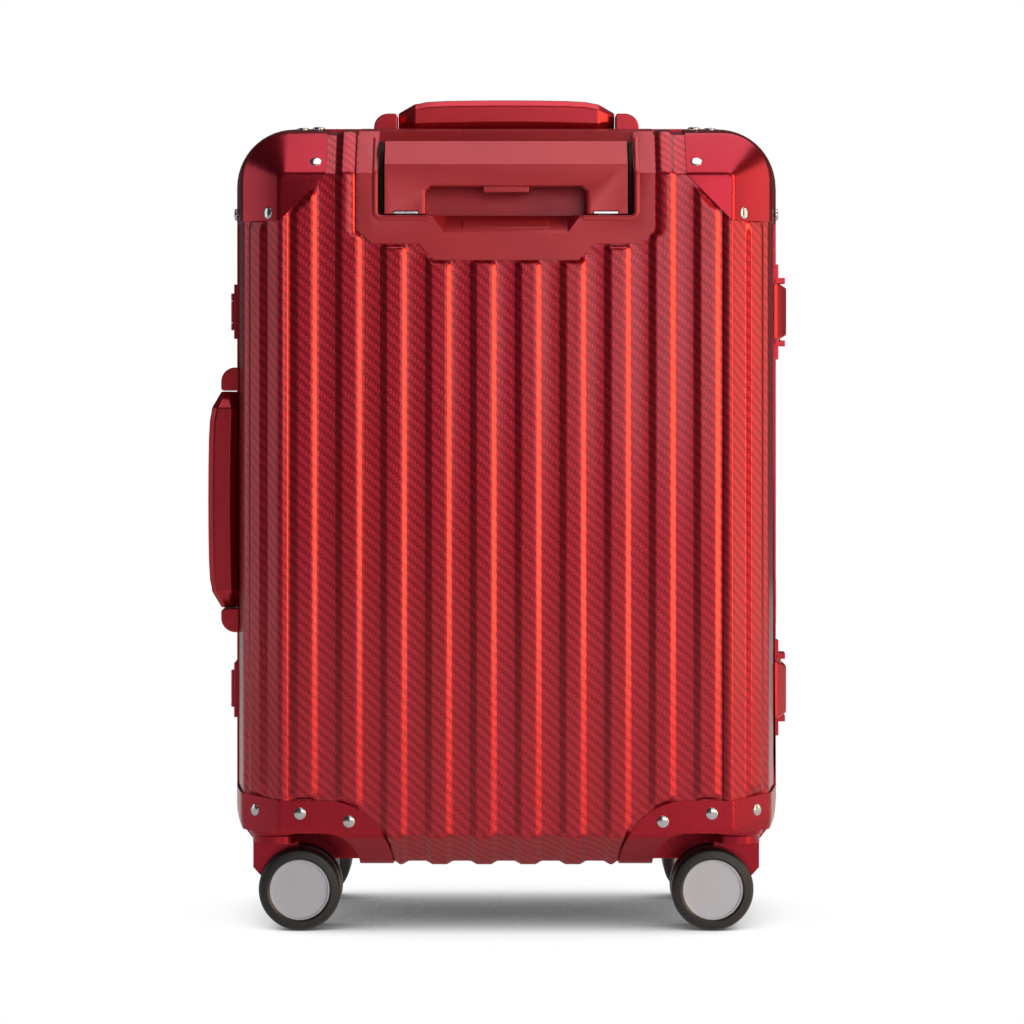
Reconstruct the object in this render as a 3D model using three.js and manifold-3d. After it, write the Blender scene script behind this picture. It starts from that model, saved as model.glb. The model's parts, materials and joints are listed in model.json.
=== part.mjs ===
// A hard shell cabin suitcase on four twin-wheel casters: two ribbed aluminium halves in hinged frames,
// a two-stage telescopic trolley, two pull-out carry handles, two latches and a key lock.
// Millimetres, +Z up. The origin is on the floor under the middle of the case. The trolley side faces -Y.
import * as THREE from "three";
import { mergeVertices } from "three/addons/utils/BufferGeometryUtils.js";
import { ConvexGeometry } from "three/addons/geometries/ConvexGeometry.js";
import Module from "manifold-3d";

const wasm = await Module();
wasm.setup();

// Driving dimensions
const clearance = 0.3; // between pieces that sit on or in each other
const beyond = 40; // cutting solids run this far past what they cut
const halfDepth = 113; // seam to the flat of either large face
const halfWidth = 178; // middle plane to the side of a shell at its rim
const shellBottom = 41.6;
const shellTop = 526;
const wall = 1.8;
const facetDepth = 25; // how far the sloping facets run in from the large face
const faceHalfWidth = halfWidth - 31; // the flat of the large face, inside the sloping facets
const faceBottom = shellBottom + 23.4;
const faceTop = shellTop - 31.3;
const middleZ = (shellBottom + shellTop) / 2;
const facetStep = { side: 5.5, bottom: 3.4, top: 4 }; // flare from the facet out to the rim
const cornerRadius = { face: 4, facet: 30, rim: 37.5 };
const rimDepth = 48; // straight stretch of the walls behind the seam

const rib = { count: 10, crest: 9.6, foot: 17.5, height: 2.3, edge: 16, end: 50 };

const frame = { proud: 3.5, depth: 18, inner: 7, groove: 8, seamGap: 0.2 };
const guardSkin = 1.6;
const topGuard = { inner: halfWidth - 60.7, bend: faceTop, outer: faceHalfWidth, foot: shellTop - 61.5 };
const wheelGuard = { arcX: halfWidth - 60, arcZ: 42, outerRadius: 44, top: 87.4, sideTop: 90.3 };
const well = { radius: 24.5, ceiling: 68.3, inner: 22, skin: 2.2 };
const rivet = { radius: 4, height: 1.6, edge: 6, corner: 13.5, apart: 16 };

const caster = { x: halfWidth - 26, y: halfDepth - 37, trail: 16.8, wheelRadius: 27, tread: 6.8 };
const capRadius = caster.wheelRadius - caster.tread;
const casterParts = {
  gap: 4.2,
  wheelWidth: 16.3,
  bossRadius: 17,
  bossFoot: 61.5,
  headRadius: 15,
  headFoot: 56.5,
};
const turnedSteps = 28; // sides of the round heads, bosses and bores
const axleRadius = 3;

// The trolley panel's outline: half widths, and drops below the top of the shell
const panel = {
  half: 96.3,
  shoulder: 68.3,
  hip: 87,
  step: 76.5,
  waist: 56.7,
  foot: 47,
  bottom: 87.2,
  skin: 1.8,
};
const pocket = { half: 83, floor: shellTop - 58, depth: 25 };
const housing = { wall: 2.5, floor: 6 };
const scoop = { half: 45, bottom: pocket.floor - 12, depth: 14 };
const grip = { half: pocket.half - 4, bottom: pocket.floor + 0.7, proud: 2.5, thickness: 23.5 };
const gripTop = shellTop - 9.3;
const gripCrease = gripTop - 15.9;
const fingerGap = { half: 52, top: grip.bottom + 17.8 };
const button = { half: 15, bottom: fingerGap.top - 3.7, height: 7, travel: 4 };
const tube = { x: 65, width: 16, thickness: 10, wall: 0.9, play: 0.25, foot: shellBottom + 66.4, behind: 13 };
const tubeStep = 16; // each inner tube ends this far above the one around it
const cover = { half: 78, wall: 1.5, bottom: tube.foot - 14, top: pocket.floor - 22, depth: 23 };
const bracketHeight = 10;

const handle = { bar: 145, ear: 14.6, over: 177, earHeight: 10, rise: 18, travel: 20, depth: 24, y: -33 };
const sideHandleZ = middleZ - 3.3;
const hinge = { spread: 127.6, height: 36.7, knuckle: 14.4, radius: 2.5, pin: 1.2, reach: 15, plate: 2 };
const hingeMiddle = middleZ - 4.9;
const hingeZ = [hingeMiddle - hinge.spread, hingeMiddle + hinge.spread];
const latch = { height: 38, proud: 7.7, baseHeight: 64.6, baseProud: 3, claw: 17, pivotY: 24 };
const lock = { height: 29.3, depth: 13, thickness: 1.4, radius: 4.2, aboveLatch: 59 };
const lining = { gap: 0.4, thickness: 1 };

// Finishes
function finish(color, roughness, metalness) {
  return new THREE.MeshStandardMaterial({ color, roughness, metalness });
}
const redAluminium = finish(0xa31f2d, 0.42, 0.6);
const redFrame = finish(0x9c1f2c, 0.38, 0.6);
const redPlastic = finish(0xa82a30, 0.5, 0);
const redPaint = finish(0x9b2229, 0.35, 0.1);
const brightMetal = finish(0xd8d8da, 0.25, 1);
const satinSilver = finish(0xb9babb, 0.35, 0.7);
const rubber = finish(0x17171a, 0.75, 0);
const fabric = finish(0x2c2c31, 0.9, 0);

// Booleans and basic solids
function solid(geometry) {
  const bare = new THREE.BufferGeometry().setAttribute("position", geometry.getAttribute("position"));
  if (geometry.index) bare.setIndex(geometry.index);
  const merged = mergeVertices(bare, 1e-4);
  const vertProperties = new Float32Array(merged.getAttribute("position").array);
  const triVerts = new Uint32Array(merged.index.array);
  return new wasm.Manifold(new wasm.Mesh({ numProp: 3, vertProperties, triVerts }));
}

function geometryOf(made) {
  const mesh = made.getMesh();
  const geometry = new THREE.BufferGeometry();
  geometry.setAttribute("position", new THREE.BufferAttribute(new Float32Array(mesh.vertProperties), 3));
  geometry.setIndex(new THREE.BufferAttribute(new Uint32Array(mesh.triVerts), 1));
  geometry.computeVertexNormals();
  return geometry;
}

const join = (first, ...rest) => rest.reduce((sum, next) => sum.add(next), first);
const cut = (first, ...rest) => rest.reduce((sum, next) => sum.subtract(next), first);
const hull = (points) => solid(new ConvexGeometry(points));

// A box from its low and high corners.
function block(x0, x1, y0, y1, z0, z1) {
  const geometry = new THREE.BoxGeometry(x1 - x0, y1 - y0, z1 - z0);
  return solid(geometry.translate((x0 + x1) / 2, (y0 + y1) / 2, (z0 + z1) / 2));
}

// A cylinder along "x", "y" or "z" from start to end, centred on the other two coordinates.
function rod(axis, radius, start, end, centre, sides = 24) {
  const geometry = new THREE.CylinderGeometry(radius, radius, end - start, sides);
  if (axis === "x") geometry.rotateZ(-Math.PI / 2);
  if (axis === "z") geometry.rotateX(Math.PI / 2);
  const middle = (start + end) / 2;
  const [a, b] = centre;
  const place = { x: [middle, a, b], y: [a, middle, b], z: [a, b, middle] }[axis];
  return solid(geometry.translate(...place));
}

function extrude(shape, depth, options = {}) {
  return new THREE.ExtrudeGeometry(shape, { depth, bevelEnabled: false, curveSegments: 10, ...options });
}

const outline = (points) => new THREE.Shape(points.map(([a, b]) => new THREE.Vector2(a, b)));

// An outline in X and Z carried from y0 to y1.
function alongY(shape, y0, y1) {
  return solid(extrude(shape, y1 - y0).rotateX(Math.PI / 2).translate(0, y1, 0));
}

// An outline in Y and Z carried from x0 to x1.
function alongX(shape, x0, x1) {
  const turn = new THREE.Matrix4().set(0, 0, 1, x0, 1, 0, 0, 0, 0, 1, 0, 0, 0, 0, 0, 1);
  return solid(extrude(shape, x1 - x0).applyMatrix4(turn));
}

const alongZ = (shape, z0, z1) => solid(extrude(shape, z1 - z0).translate(0, 0, z0));

function part(group, name, made, material) {
  const mesh = new THREE.Mesh(made.isBufferGeometry ? made : geometryOf(made), material);
  mesh.name = name;
  group.add(mesh);
  return mesh;
}

// The outer form of one half. side is -1 for the trolley half and 1 for the lid.
// How far a corner between two faces 45 degrees apart moves when both move out by 1
const miter = Math.tan(Math.PI / 8);

function sections(offset) {
  const { side, bottom, top } = facetStep;
  return [
    {
      y: halfDepth + offset,
      half: faceHalfWidth + miter * offset,
      low: faceBottom - miter * offset,
      high: faceTop + miter * offset,
      radius: cornerRadius.face + miter * offset,
    },
    {
      y: halfDepth - facetDepth + miter * offset,
      half: halfWidth - side + offset,
      low: shellBottom + bottom - offset,
      high: shellTop - top + offset,
      radius: cornerRadius.facet + offset,
    },
    {
      y: rimDepth,
      half: halfWidth + offset,
      low: shellBottom - offset,
      high: shellTop + offset,
      radius: cornerRadius.rim + offset,
    },
  ];
}

// The points of a rounded rectangle: half wide each way, from low to high.
function ring({ y, half, low, high, radius }, side, steps = 6) {
  const points = [];
  const centres = [
    [half - radius, high - radius],
    [radius - half, high - radius],
    [radius - half, low + radius],
    [half - radius, low + radius],
  ];
  centres.forEach(([x, z], quarter) => {
    for (let i = 0; i <= steps; i++) {
      const angle = (quarter + i / steps) * (Math.PI / 2);
      points.push(new THREE.Vector3(x + radius * Math.cos(angle), side * y, z + radius * Math.sin(angle)));
    }
  });
  return points;
}

function halfForm(side, offset, rim) {
  const levels = sections(offset);
  levels.push({ ...levels[2], y: rim });
  return hull(levels.flatMap((level) => ring(level, side)));
}

// The places of the ribs across one large face, and one rib that wraps from the top to the bottom.
const ribPlaces = [];
const ribSpacing = (2 * (faceHalfWidth - rib.edge)) / (rib.count - 1);
for (let i = 0; i < rib.count; i++) ribPlaces.push((i - (rib.count - 1) / 2) * ribSpacing);

function ribSolid(x, side) {
  const points = [];
  const bury = 0.5;
  for (const [halfRib, height] of [[rib.crest / 2, rib.height], [rib.foot / 2, -bury]]) {
    const [face, facet] = sections(height);
    const runOut = sections(height > 0 ? 0 : -bury)[2];
    for (const { y, low, high } of [face, facet, { ...runOut, y: rib.end }])
      for (const z of [low, high])
        for (const dx of [-halfRib, halfRib]) points.push(new THREE.Vector3(x + dx, side * y, z));
  }
  return hull(points);
}

// The space that one caster turns in, on the side mirror (-1 or 1) of a half, grown by extra.
function wellSpace(side, mirror, extra) {
  const far = halfWidth + beyond;
  const radius = well.radius + extra;
  const shape = new THREE.Shape();
  shape.moveTo(wheelGuard.arcX - radius, 0);
  shape.lineTo(far, 0);
  shape.lineTo(far, well.ceiling + extra);
  shape.lineTo(wheelGuard.arcX, well.ceiling + extra);
  shape.absellipse(
    wheelGuard.arcX,
    wheelGuard.arcZ + 2,
    radius,
    well.ceiling + extra - wheelGuard.arcZ - 2,
    Math.PI / 2,
    Math.PI,
  );
  const flipped = shape.getPoints(10).map((p) => new THREE.Vector2(-p.x, p.y));
  const mirrored = mirror > 0 ? shape : new THREE.Shape(flipped);
  const inner = well.inner - extra;
  const outer = halfDepth + beyond;
  return side < 0 ? alongY(mirrored, -outer, -inner) : alongY(mirrored, inner, outer);
}

const bothWells = (side, extra) => wellSpace(side, -1, extra).add(wellSpace(side, 1, extra));

// Outlines of the guards on the large face; they are carried through the depth of a half.
function topGuardOutline(mirror, extra = 0) {
  const far = halfWidth + beyond;
  const { inner, bend, outer, foot } = topGuard;
  const points = [
    [inner - extra, shellTop + beyond],
    [inner - extra, bend - extra * miter],
    [outer - extra * miter, foot - extra],
    [far, foot - extra],
    [far, shellTop + beyond],
  ];
  return outline(points.map(([x, z]) => [mirror * x, z]));
}

function wheelGuardOutline(mirror, extra = 0) {
  const far = halfWidth + beyond;
  const { arcX, arcZ, outerRadius, top, sideTop } = wheelGuard;
  const points = [[arcX - outerRadius - extra, 0]];
  const steps = 8;
  for (let i = 0; i <= steps; i++) {
    const angle = Math.PI - (i / steps) * (Math.PI / 2);
    const rise = top - arcZ + extra;
    points.push([arcX + (outerRadius + extra) * Math.cos(angle), arcZ + rise * Math.sin(angle)]);
  }
  points.push([faceHalfWidth, top + extra], [far, sideTop + 4 + extra], [far, 0]);
  return outline(points.map(([x, z]) => [mirror * x, z]));
}

function acrossHalf(shape, side, from = 0, to = halfDepth + beyond) {
  return side < 0 ? alongY(shape, -to, -from) : alongY(shape, from, to);
}

function panelOutline(extra = 0) {
  const { half, shoulder, hip, step, waist, foot, bottom } = panel;
  const right = [
    [half + extra, -beyond],
    [half + extra, shoulder],
    [hip + extra, step + extra],
    [waist + extra, step + extra],
    [foot + extra, bottom + extra],
  ].map(([x, drop]) => [x, shellTop - drop]);
  const left = right.map(([x, z]) => [-x, z]).reverse();
  return outline([...right, ...left]);
}

// The box of the trolley housing behind the panel, grown by extra.
const pocketBack = -halfDepth + pocket.depth;
function housingBody(extra) {
  const half = pocket.half + housing.wall + extra;
  const floor = pocket.floor - housing.floor - extra;
  const back = pocketBack + housing.wall + extra;
  const scoopHalf = scoop.half + housing.wall + extra;
  const scoopBack = -halfDepth + scoop.depth + housing.wall + extra;
  const deep = block(-half, half, -halfDepth - beyond, back, floor, shellTop + beyond);
  const lip = scoop.bottom - housing.wall - extra;
  return deep.add(block(-scoopHalf, scoopHalf, -halfDepth - beyond, scoopBack, lip, floor + 1));
}

const suitcase = new THREE.Group();
const caseBack = new THREE.Group();
const caseFront = new THREE.Group();
suitcase.add(caseBack, caseFront);

const rimEdge = frame.groove + clearance; // the free edge of a shell, measured from the seam

function shell(side) {
  const ribs = ribPlaces.map((x) => ribSolid(x, side));
  let body = join(halfForm(side, 0, rimEdge), ...ribs);
  const guards = [];
  for (const mirror of [-1, 1]) {
    guards.push(acrossHalf(topGuardOutline(mirror, clearance), side, rimEdge));
    guards.push(acrossHalf(wheelGuardOutline(mirror, clearance), side, rimEdge));
  }
  if (side < 0) guards.push(acrossHalf(panelOutline(clearance), side, rimDepth));
  const bare = halfForm(side, 0, rimEdge);
  const ribbed = cut(body, ...guards);
  body = cut(bare.add(ribbed), bothWells(side, 0));
  const inside = cut(halfForm(side, -wall, 0), bothWells(side, wall));
  body = cut(body, inside);
  return side < 0 ? cut(body, housingBody(clearance)) : body;
}

// A frame ring: outside it stands proud of the shell, and a groove holds the shell's edge.
function frameRing(side) {
  const straight = (offset, from, to) => {
    const level = sections(offset)[2];
    return hull([...ring({ ...level, y: from }, side), ...ring({ ...level, y: to }, side)]);
  };
  const grooveOut = straight(clearance, frame.groove, frame.depth + 1);
  const grooveIn = straight(-wall - clearance, frame.groove - 1, frame.depth + 2);
  let ringSolid = straight(frame.proud, frame.seamGap, frame.depth);
  ringSolid = cut(ringSolid, straight(-frame.inner, -1, frame.depth + 2), grooveOut.subtract(grooveIn));
  return ringSolid;
}

// The frame's lip is cut away under each latch, with sloping ends.
function latchNotch(z) {
  const floor = halfWidth + clearance + 0.1;
  const half = latch.height / 2 + 1;
  const far = halfWidth + beyond;
  const shape = outline([
    [floor, z - half],
    [far, z - half - (far - floor)],
    [far, z + half + (far - floor)],
    [floor, z + half],
  ]);
  return alongY(shape, -frame.depth - 1, 0);
}

function guardSkinOf(side, shape) {
  const outer = halfForm(side, guardSkin, frame.depth + clearance);
  const inner = halfForm(side, clearance, frame.depth - 5);
  return cut(outer, inner).intersect(acrossHalf(shape, side));
}

// A rivet is a short round head standing on a guard's flat.
function rivetHeads(side, places) {
  const base = halfDepth + guardSkin - 0.4;
  return places.map(([x, z]) => {
    const start = side < 0 ? -base - rivet.height : base;
    return rod("y", rivet.radius, start, start + rivet.height, [x, z], 12);
  });
}

function topCornerGuard(side, mirror) {
  const skin = guardSkinOf(side, topGuardOutline(mirror));
  const { inner, bend, outer, foot } = topGuard;
  const places = [[inner + rivet.corner, bend - rivet.edge], [outer - rivet.edge, foot + rivet.corner]];
  return join(skin, ...rivetHeads(side, places.map(([x, z]) => [mirror * x, z])));
}

function wheelCornerGuard(side, mirror) {
  const skin = cut(guardSkinOf(side, wheelGuardOutline(mirror)), wellSpace(side, mirror, -well.skin));
  const liner = cut(wellSpace(side, mirror, -clearance), wellSpace(side, mirror, -well.skin));
  const trimmed = liner.intersect(halfForm(side, guardSkin, well.inner));
  const { bossRadius, bossFoot } = casterParts;
  const above = [mirror * caster.x, side * caster.y];
  const boss = rod("z", bossRadius, bossFoot, well.ceiling - 1, above, turnedSteps);
  const { arcX, top } = wheelGuard;
  const rivetZ = (top + well.ceiling) / 2;
  const places = [[arcX + rivet.apart, rivetZ], [arcX - rivet.apart, rivetZ - 4]];
  const heads = rivetHeads(side, places.map(([x, z]) => [mirror * x, z]));
  return join(skin, trimmed, boss, ...heads);
}

// Inside lining: a thin skin that follows the shell, the wheel wells and the trolley space.
function liningSkin(side) {
  const form = (extra) => {
    const inside = halfForm(side, -wall - extra, rimEdge + frame.depth);
    return cut(inside, bothWells(side, wall + extra));
  };
  const outer = form(lining.gap);
  const inner = form(lining.gap + lining.thickness).add(
    halfForm(side, -wall - lining.gap - lining.thickness, frame.depth + 2).intersect(
      halfForm(side, -frame.inner, rimEdge),
    ),
  );
  const skin = cut(outer, inner);
  if (side > 0) return skin;
  const half = cover.half + 0.6;
  const back = -halfDepth + cover.depth + 4;
  const trolleySpace = block(-half, half, -halfDepth - 5, back, cover.bottom - 1, shellTop);
  return cut(skin, trolleySpace, housingBody(2 * clearance));
}

for (const [group, side, word] of [[caseBack, -1, "back"], [caseFront, 1, "front"]]) {
  part(group, word + "_shell", shell(side), redAluminium);
  const ringSolid = side < 0 ? cut(frameRing(side), ...hingeZ.map(latchNotch)) : frameRing(side);
  part(group, word + "_frame", ringSolid, redFrame);
  part(group, word + "_lining", liningSkin(side), fabric);
  for (const [mirror, hand] of [[-1, "left"], [1, "right"]]) {
    part(group, `${word}_corner_guard_${hand}`, topCornerGuard(side, mirror), redPlastic);
    part(group, `${word}_wheel_guard_${hand}`, wheelCornerGuard(side, mirror), redPlastic);
  }
}

// Casters: the fork turns about the upright line through the boss; the wheels turn on the axle behind it.
function tyreGeometry() {
  const { wheelRadius } = caster;
  const width = casterParts.wheelWidth;
  const inner = capRadius + clearance;
  const shoulder = 2.4;
  const profile = [
    [inner, 0],
    [wheelRadius - shoulder, 0],
    [wheelRadius, shoulder],
    [wheelRadius, width - shoulder],
    [wheelRadius - shoulder, width],
    [inner, width],
    [inner, 0],
  ];
  return new THREE.LatheGeometry(profile.map(([r, z]) => new THREE.Vector2(r, z)), 32);
}

function wheelHub() {
  const { gap, wheelWidth } = casterParts;
  const disc = gap + clearance;
  const outer = gap + wheelWidth - 0.5;
  const profile = [
    [0, -outer],
    [capRadius, -outer],
    [capRadius, -disc],
    [axleRadius, -disc],
    [axleRadius, disc],
    [capRadius, disc],
    [capRadius, outer],
    [0, outer],
  ];
  return new THREE.LatheGeometry(profile.map(([r, z]) => new THREE.Vector2(r, z)), 28);
}

function fork() {
  const half = casterParts.gap - 0.4;
  const top = casterParts.bossFoot - clearance;
  const web = outline([
    [-14.5, casterParts.headFoot + 1],
    [-14.5, 40],
    [-10, 35],
    [caster.trail - 5, caster.wheelRadius - 7],
    [caster.trail + 5, caster.wheelRadius - 7],
    [caster.trail + 7, caster.wheelRadius + 4],
    [14.5, casterParts.headFoot + 1],
  ]);
  const head = rod("z", casterParts.headRadius, casterParts.headFoot, top, [0, 0], turnedSteps);
  const body = alongY(web, -half, half).add(head);
  const axle = [caster.trail, caster.wheelRadius];
  const bore = rod("y", axleRadius + 0.1, -half - 1, half + 1, axle, turnedSteps);
  return cut(body, bore);
}

for (const [group, side, word] of [[caseBack, -1, "back"], [caseFront, 1, "front"]])
  for (const [mirror, hand] of [[-1, "left"], [1, "right"]]) {
    const name = `${word}_${hand}`;
    const swivel = new THREE.Group();
    swivel.position.set(mirror * caster.x, side * caster.y, 0);
    swivel.rotation.z = mirror > 0 ? Math.PI : 0; // the wheels trail towards the middle of the case
    group.add(swivel);
    part(swivel, "caster_fork_" + name, fork(), redPlastic);
    const axle = new THREE.Group();
    axle.position.set(caster.trail, 0, caster.wheelRadius);
    swivel.add(axle);
    part(axle, "wheel_hub_" + name, wheelHub(), satinSilver);
    [["outer", -1], ["inner", 1]].forEach(([place, way]) => {
      const tyre = part(axle, `tyre_${place}_${name}`, tyreGeometry(), rubber);
      tyre.position.y = way < 0 ? -casterParts.gap - casterParts.wheelWidth : casterParts.gap;
    });
  }

// Trolley
const tubeY = -halfDepth + tube.behind;

function tubeSection(stage) {
  const shrink = stage * (tube.wall + tube.play);
  const halfX = tube.width / 2 - shrink;
  const halfY = tube.thickness / 2 - shrink;
  return { halfX, halfY };
}

function tubeSolid(stage, mirror, bottom, top) {
  const { halfX, halfY } = tubeSection(stage);
  const x = mirror * tube.x;
  const body = block(x - halfX, x + halfX, tubeY - halfY, tubeY + halfY, bottom, top);
  const innerX = halfX - tube.wall;
  const innerY = halfY - tube.wall;
  return cut(body, block(x - innerX, x + innerX, tubeY - innerY, tubeY + innerY, bottom - 1, top + 1));
}

function trolleyPanel() {
  const plate = cut(halfForm(-1, panel.skin, rimDepth + 2), halfForm(-1, clearance, rimDepth - 2));
  const skin = plate.intersect(acrossHalf(panelOutline(), -1, rimDepth + 2));
  const box = housingBody(0).intersect(halfForm(-1, panel.skin, rimDepth));
  const hollow = block(
    -pocket.half,
    pocket.half,
    -halfDepth - beyond,
    pocketBack,
    pocket.floor,
    shellTop + 2 * beyond,
  );
  const finger = block(
    -scoop.half,
    scoop.half,
    -halfDepth - beyond,
    -halfDepth + scoop.depth,
    scoop.bottom,
    pocket.floor + 1,
  );
  const { halfX, halfY } = tubeSection(0);
  const gap = clearance;
  const holes = [-1, 1].map((mirror) => {
    const x = mirror * tube.x;
    const [low, high] = [scoop.bottom - beyond, pocket.floor + 1];
    return block(x - halfX - gap, x + halfX + gap, tubeY - halfY - gap, tubeY + halfY + gap, low, high);
  });
  return cut(skin.add(box), hollow, finger, ...holes);
}

part(caseBack, "trolley_panel", trolleyPanel(), redPlastic);
const coverShape = outline([
  [-cover.half, -halfDepth + wall + 1],
  [-cover.half + cover.wall, -halfDepth + wall + 1],
  [-cover.half + cover.wall, -halfDepth + cover.depth - cover.wall],
  [cover.half - cover.wall, -halfDepth + cover.depth - cover.wall],
  [cover.half - cover.wall, -halfDepth + wall + 1],
  [cover.half, -halfDepth + wall + 1],
  [cover.half, -halfDepth + cover.depth],
  [-cover.half, -halfDepth + cover.depth],
]);
part(caseBack, "trolley_cover", alongZ(coverShape, cover.bottom, cover.top), fabric);
const bracketHalf = tube.x + tube.width / 2;
part(
  caseBack,
  "trolley_bracket",
  block(
    -bracketHalf,
    bracketHalf,
    tubeY - tube.thickness / 2 - 1,
    tubeY + tube.thickness / 2,
    tube.foot - clearance - bracketHeight,
    tube.foot - clearance,
  ),
  redPlastic,
);

const trolley = new THREE.Group();
caseBack.add(trolley);
const tubeTop = pocket.floor - clearance;
for (const [mirror, hand] of [[-1, "left"], [1, "right"]]) {
  part(trolley, "outer_tube_" + hand, tubeSolid(0, mirror, tube.foot, tubeTop), brightMetal);
  part(trolley, "middle_tube_" + hand, tubeSolid(1, mirror, tube.foot + tubeStep, tubeTop), brightMetal);
  const innerTube = tubeSolid(2, mirror, tube.foot + 2 * tubeStep, grip.bottom - clearance);
  part(trolley, "inner_tube_" + hand, innerTube, brightMetal);
}

const buttonWall = 3; // the grip in front of and behind the release button
function gripSolid() {
  const face = -halfDepth - grip.proud;
  const back = face + grip.thickness;
  const slope = gripTop - gripCrease;
  const side = outline([
    [face, grip.bottom],
    [back, grip.bottom],
    [back, gripTop],
    [face + slope * 0.9, gripTop],
    [face, gripCrease],
  ]);
  const body = alongX(side, -grip.half, grip.half);
  const gap = outline([
    [-fingerGap.half, grip.bottom - 1],
    [fingerGap.half, grip.bottom - 1],
    [fingerGap.half, fingerGap.top - 3],
    [fingerGap.half - 3, fingerGap.top],
    [-fingerGap.half + 3, fingerGap.top],
    [-fingerGap.half, fingerGap.top - 3],
  ]);
  const slotHalf = button.half + clearance;
  const slotTop = button.bottom + button.height + button.travel + clearance;
  const slot = block(-slotHalf, slotHalf, face + buttonWall, back - buttonWall, fingerGap.top - 1, slotTop);
  return cut(body, alongY(gap, face - 1, back + 1), slot);
}

part(trolley, "trolley_grip", gripSolid(), redPlastic);
const buttonFace = -halfDepth - grip.proud + buttonWall + clearance;
part(
  trolley,
  "release_button",
  block(
    -button.half,
    button.half,
    buttonFace,
    buttonFace + grip.thickness - 2 * (buttonWall + clearance),
    button.bottom,
    button.bottom + button.height,
  ),
  redPlastic,
);

// Carry handles: X runs along the bar, Z points away from the case, and Z = 0 is the seat on the shell.
function handleEar(mirror) {
  const outer = handle.over / 2;
  const inner = outer - handle.ear;
  const height = frame.proud + handle.earHeight;
  const shape = outline([
    [inner, 0],
    [outer, 0],
    [outer, height - 5],
    [outer - 1.5, height - 1.5],
    [outer - 5, height],
    [inner, height],
  ].map(([x, z]) => [mirror * x, z]));
  return alongY(shape, -handle.depth / 2, handle.depth / 2);
}

function handleBar() {
  const half = handle.bar / 2 - clearance;
  const top = frame.proud + handle.rise;
  const shape = outline([
    [-half, 1],
    [half, 1],
    [half, top - 9],
    [half - 2, top - 4],
    [half - 8, top],
    [-half + 8, top],
    [-half + 2, top - 4],
    [-half, top - 9],
  ]);
  return alongY(shape, -handle.depth / 2 + 1, handle.depth / 2 - 1);
}

const handleSeats = [
  ["top", [0, handle.y, shellTop + clearance], 0],
  ["side", [-halfWidth - clearance, handle.y, sideHandleZ], -Math.PI / 2],
];
for (const [name, place, turn] of handleSeats) {
  const seat = new THREE.Group();
  seat.position.set(...place);
  seat.rotation.y = turn;
  caseBack.add(seat);
  part(seat, name + "_handle_ear_a", handleEar(-1), redPaint);
  part(seat, name + "_handle_ear_b", handleEar(1), redPaint);
  part(seat, name + "_handle_bar", handleBar(), redPaint);
}

// Hinges: the leaf on the trolley half has the outer knuckles and the pin, the lid's leaf the middle one.
const frameSide = halfWidth + frame.proud;
const hingeAxisX = -(frameSide + clearance + hinge.radius);

function hingeLeaf(side) {
  const axisToFrame = hinge.radius;
  const { height, knuckle, radius, pin, reach, plate } = hinge;
  const free = radius + 0.5;
  const shape = side < 0 ? [-reach, -free] : [free, reach];
  const leaf = block(axisToFrame - plate, axisToFrame, ...shape, -height / 2, height / 2);
  const near = side < 0 ? [-free - 0.5, 0] : [0, free + 0.5];
  if (side > 0) {
    const half = knuckle / 2;
    const tab = block(axisToFrame - plate, axisToFrame, ...near, -half, half);
    const barrel = rod("z", radius, -half, half, [0, 0]);
    const bore = rod("z", pin + 0.1, -half - 1, half + 1, [0, 0], 16);
    return cut(join(leaf, tab, barrel), bore);
  }
  const start = knuckle / 2 + clearance;
  const end = start + 5;
  const pieces = [leaf, rod("z", pin, -end + 1, end - 1, [0, 0], 16)];
  for (const [low, high] of [[-end, -start], [start, end]]) {
    pieces.push(block(axisToFrame - plate, axisToFrame, ...near, low, high));
    pieces.push(rod("z", radius, low, high, [0, 0]));
  }
  return join(...pieces);
}

hingeZ.forEach((z, i) => {
  const level = ["lower", "upper"][i];
  for (const [group, side, word] of [[caseBack, -1, "back"], [caseFront, 1, "front"]]) {
    const seat = new THREE.Group();
    seat.position.set(hingeAxisX, 0, z);
    group.add(seat);
    part(seat, `hinge_leaf_${word}_${level}`, hingeLeaf(side), redFrame);
  }
});

// Latches: a base on the lid's frame, a pin, and a lever whose claw drops into the notch of the other frame.
function latchBase() {
  const { height, baseHeight, baseProud, pivotY } = latch;
  const low = frameSide + clearance;
  const high = low + baseProud - clearance;
  const plate = block(low, high, 2, 17, -baseHeight / 2, baseHeight / 2);
  const pieces = [plate];
  for (const way of [-1, 1]) {
    const near = way * (height / 2 + clearance);
    const far = near + way * 4;
    const bottom = Math.min(near, far);
    pieces.push(block(low, latchPivotX + 2.2, 8, pivotY + 2.2, bottom, bottom + 4));
  }
  const bore = rod("z", latchPin + 0.1, -baseHeight, baseHeight, [latchPivotX, pivotY], 16);
  return cut(join(...pieces), bore);
}

const latchPin = 1.2;
const latchTop = frameSide + latch.proud;
const latchPivotX = latchTop - 2;

function latchLever() {
  const under = frameSide + latch.baseProud + clearance;
  const claw = halfWidth + 1.4;
  const { height, pivotY } = latch;
  const round = [];
  for (let i = 0; i <= 6; i++) {
    const angle = Math.PI / 2 - (i / 6) * Math.PI;
    round.push([latchPivotX + 2 * Math.sin(angle), pivotY + 2 * Math.cos(angle)]);
  }
  const shape = outline([
    [claw, -latch.claw],
    [latchTop - 2.5, -latch.claw - 1],
    [latchTop, -latch.claw + 3],
    ...round,
    [under, -0.6],
    [claw, -0.6],
  ]);
  const bore = rod("z", latchPin + 0.1, -height, height, [latchPivotX, pivotY], 16);
  return cut(alongZ(shape, -height / 2, height / 2), bore);
}

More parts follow.
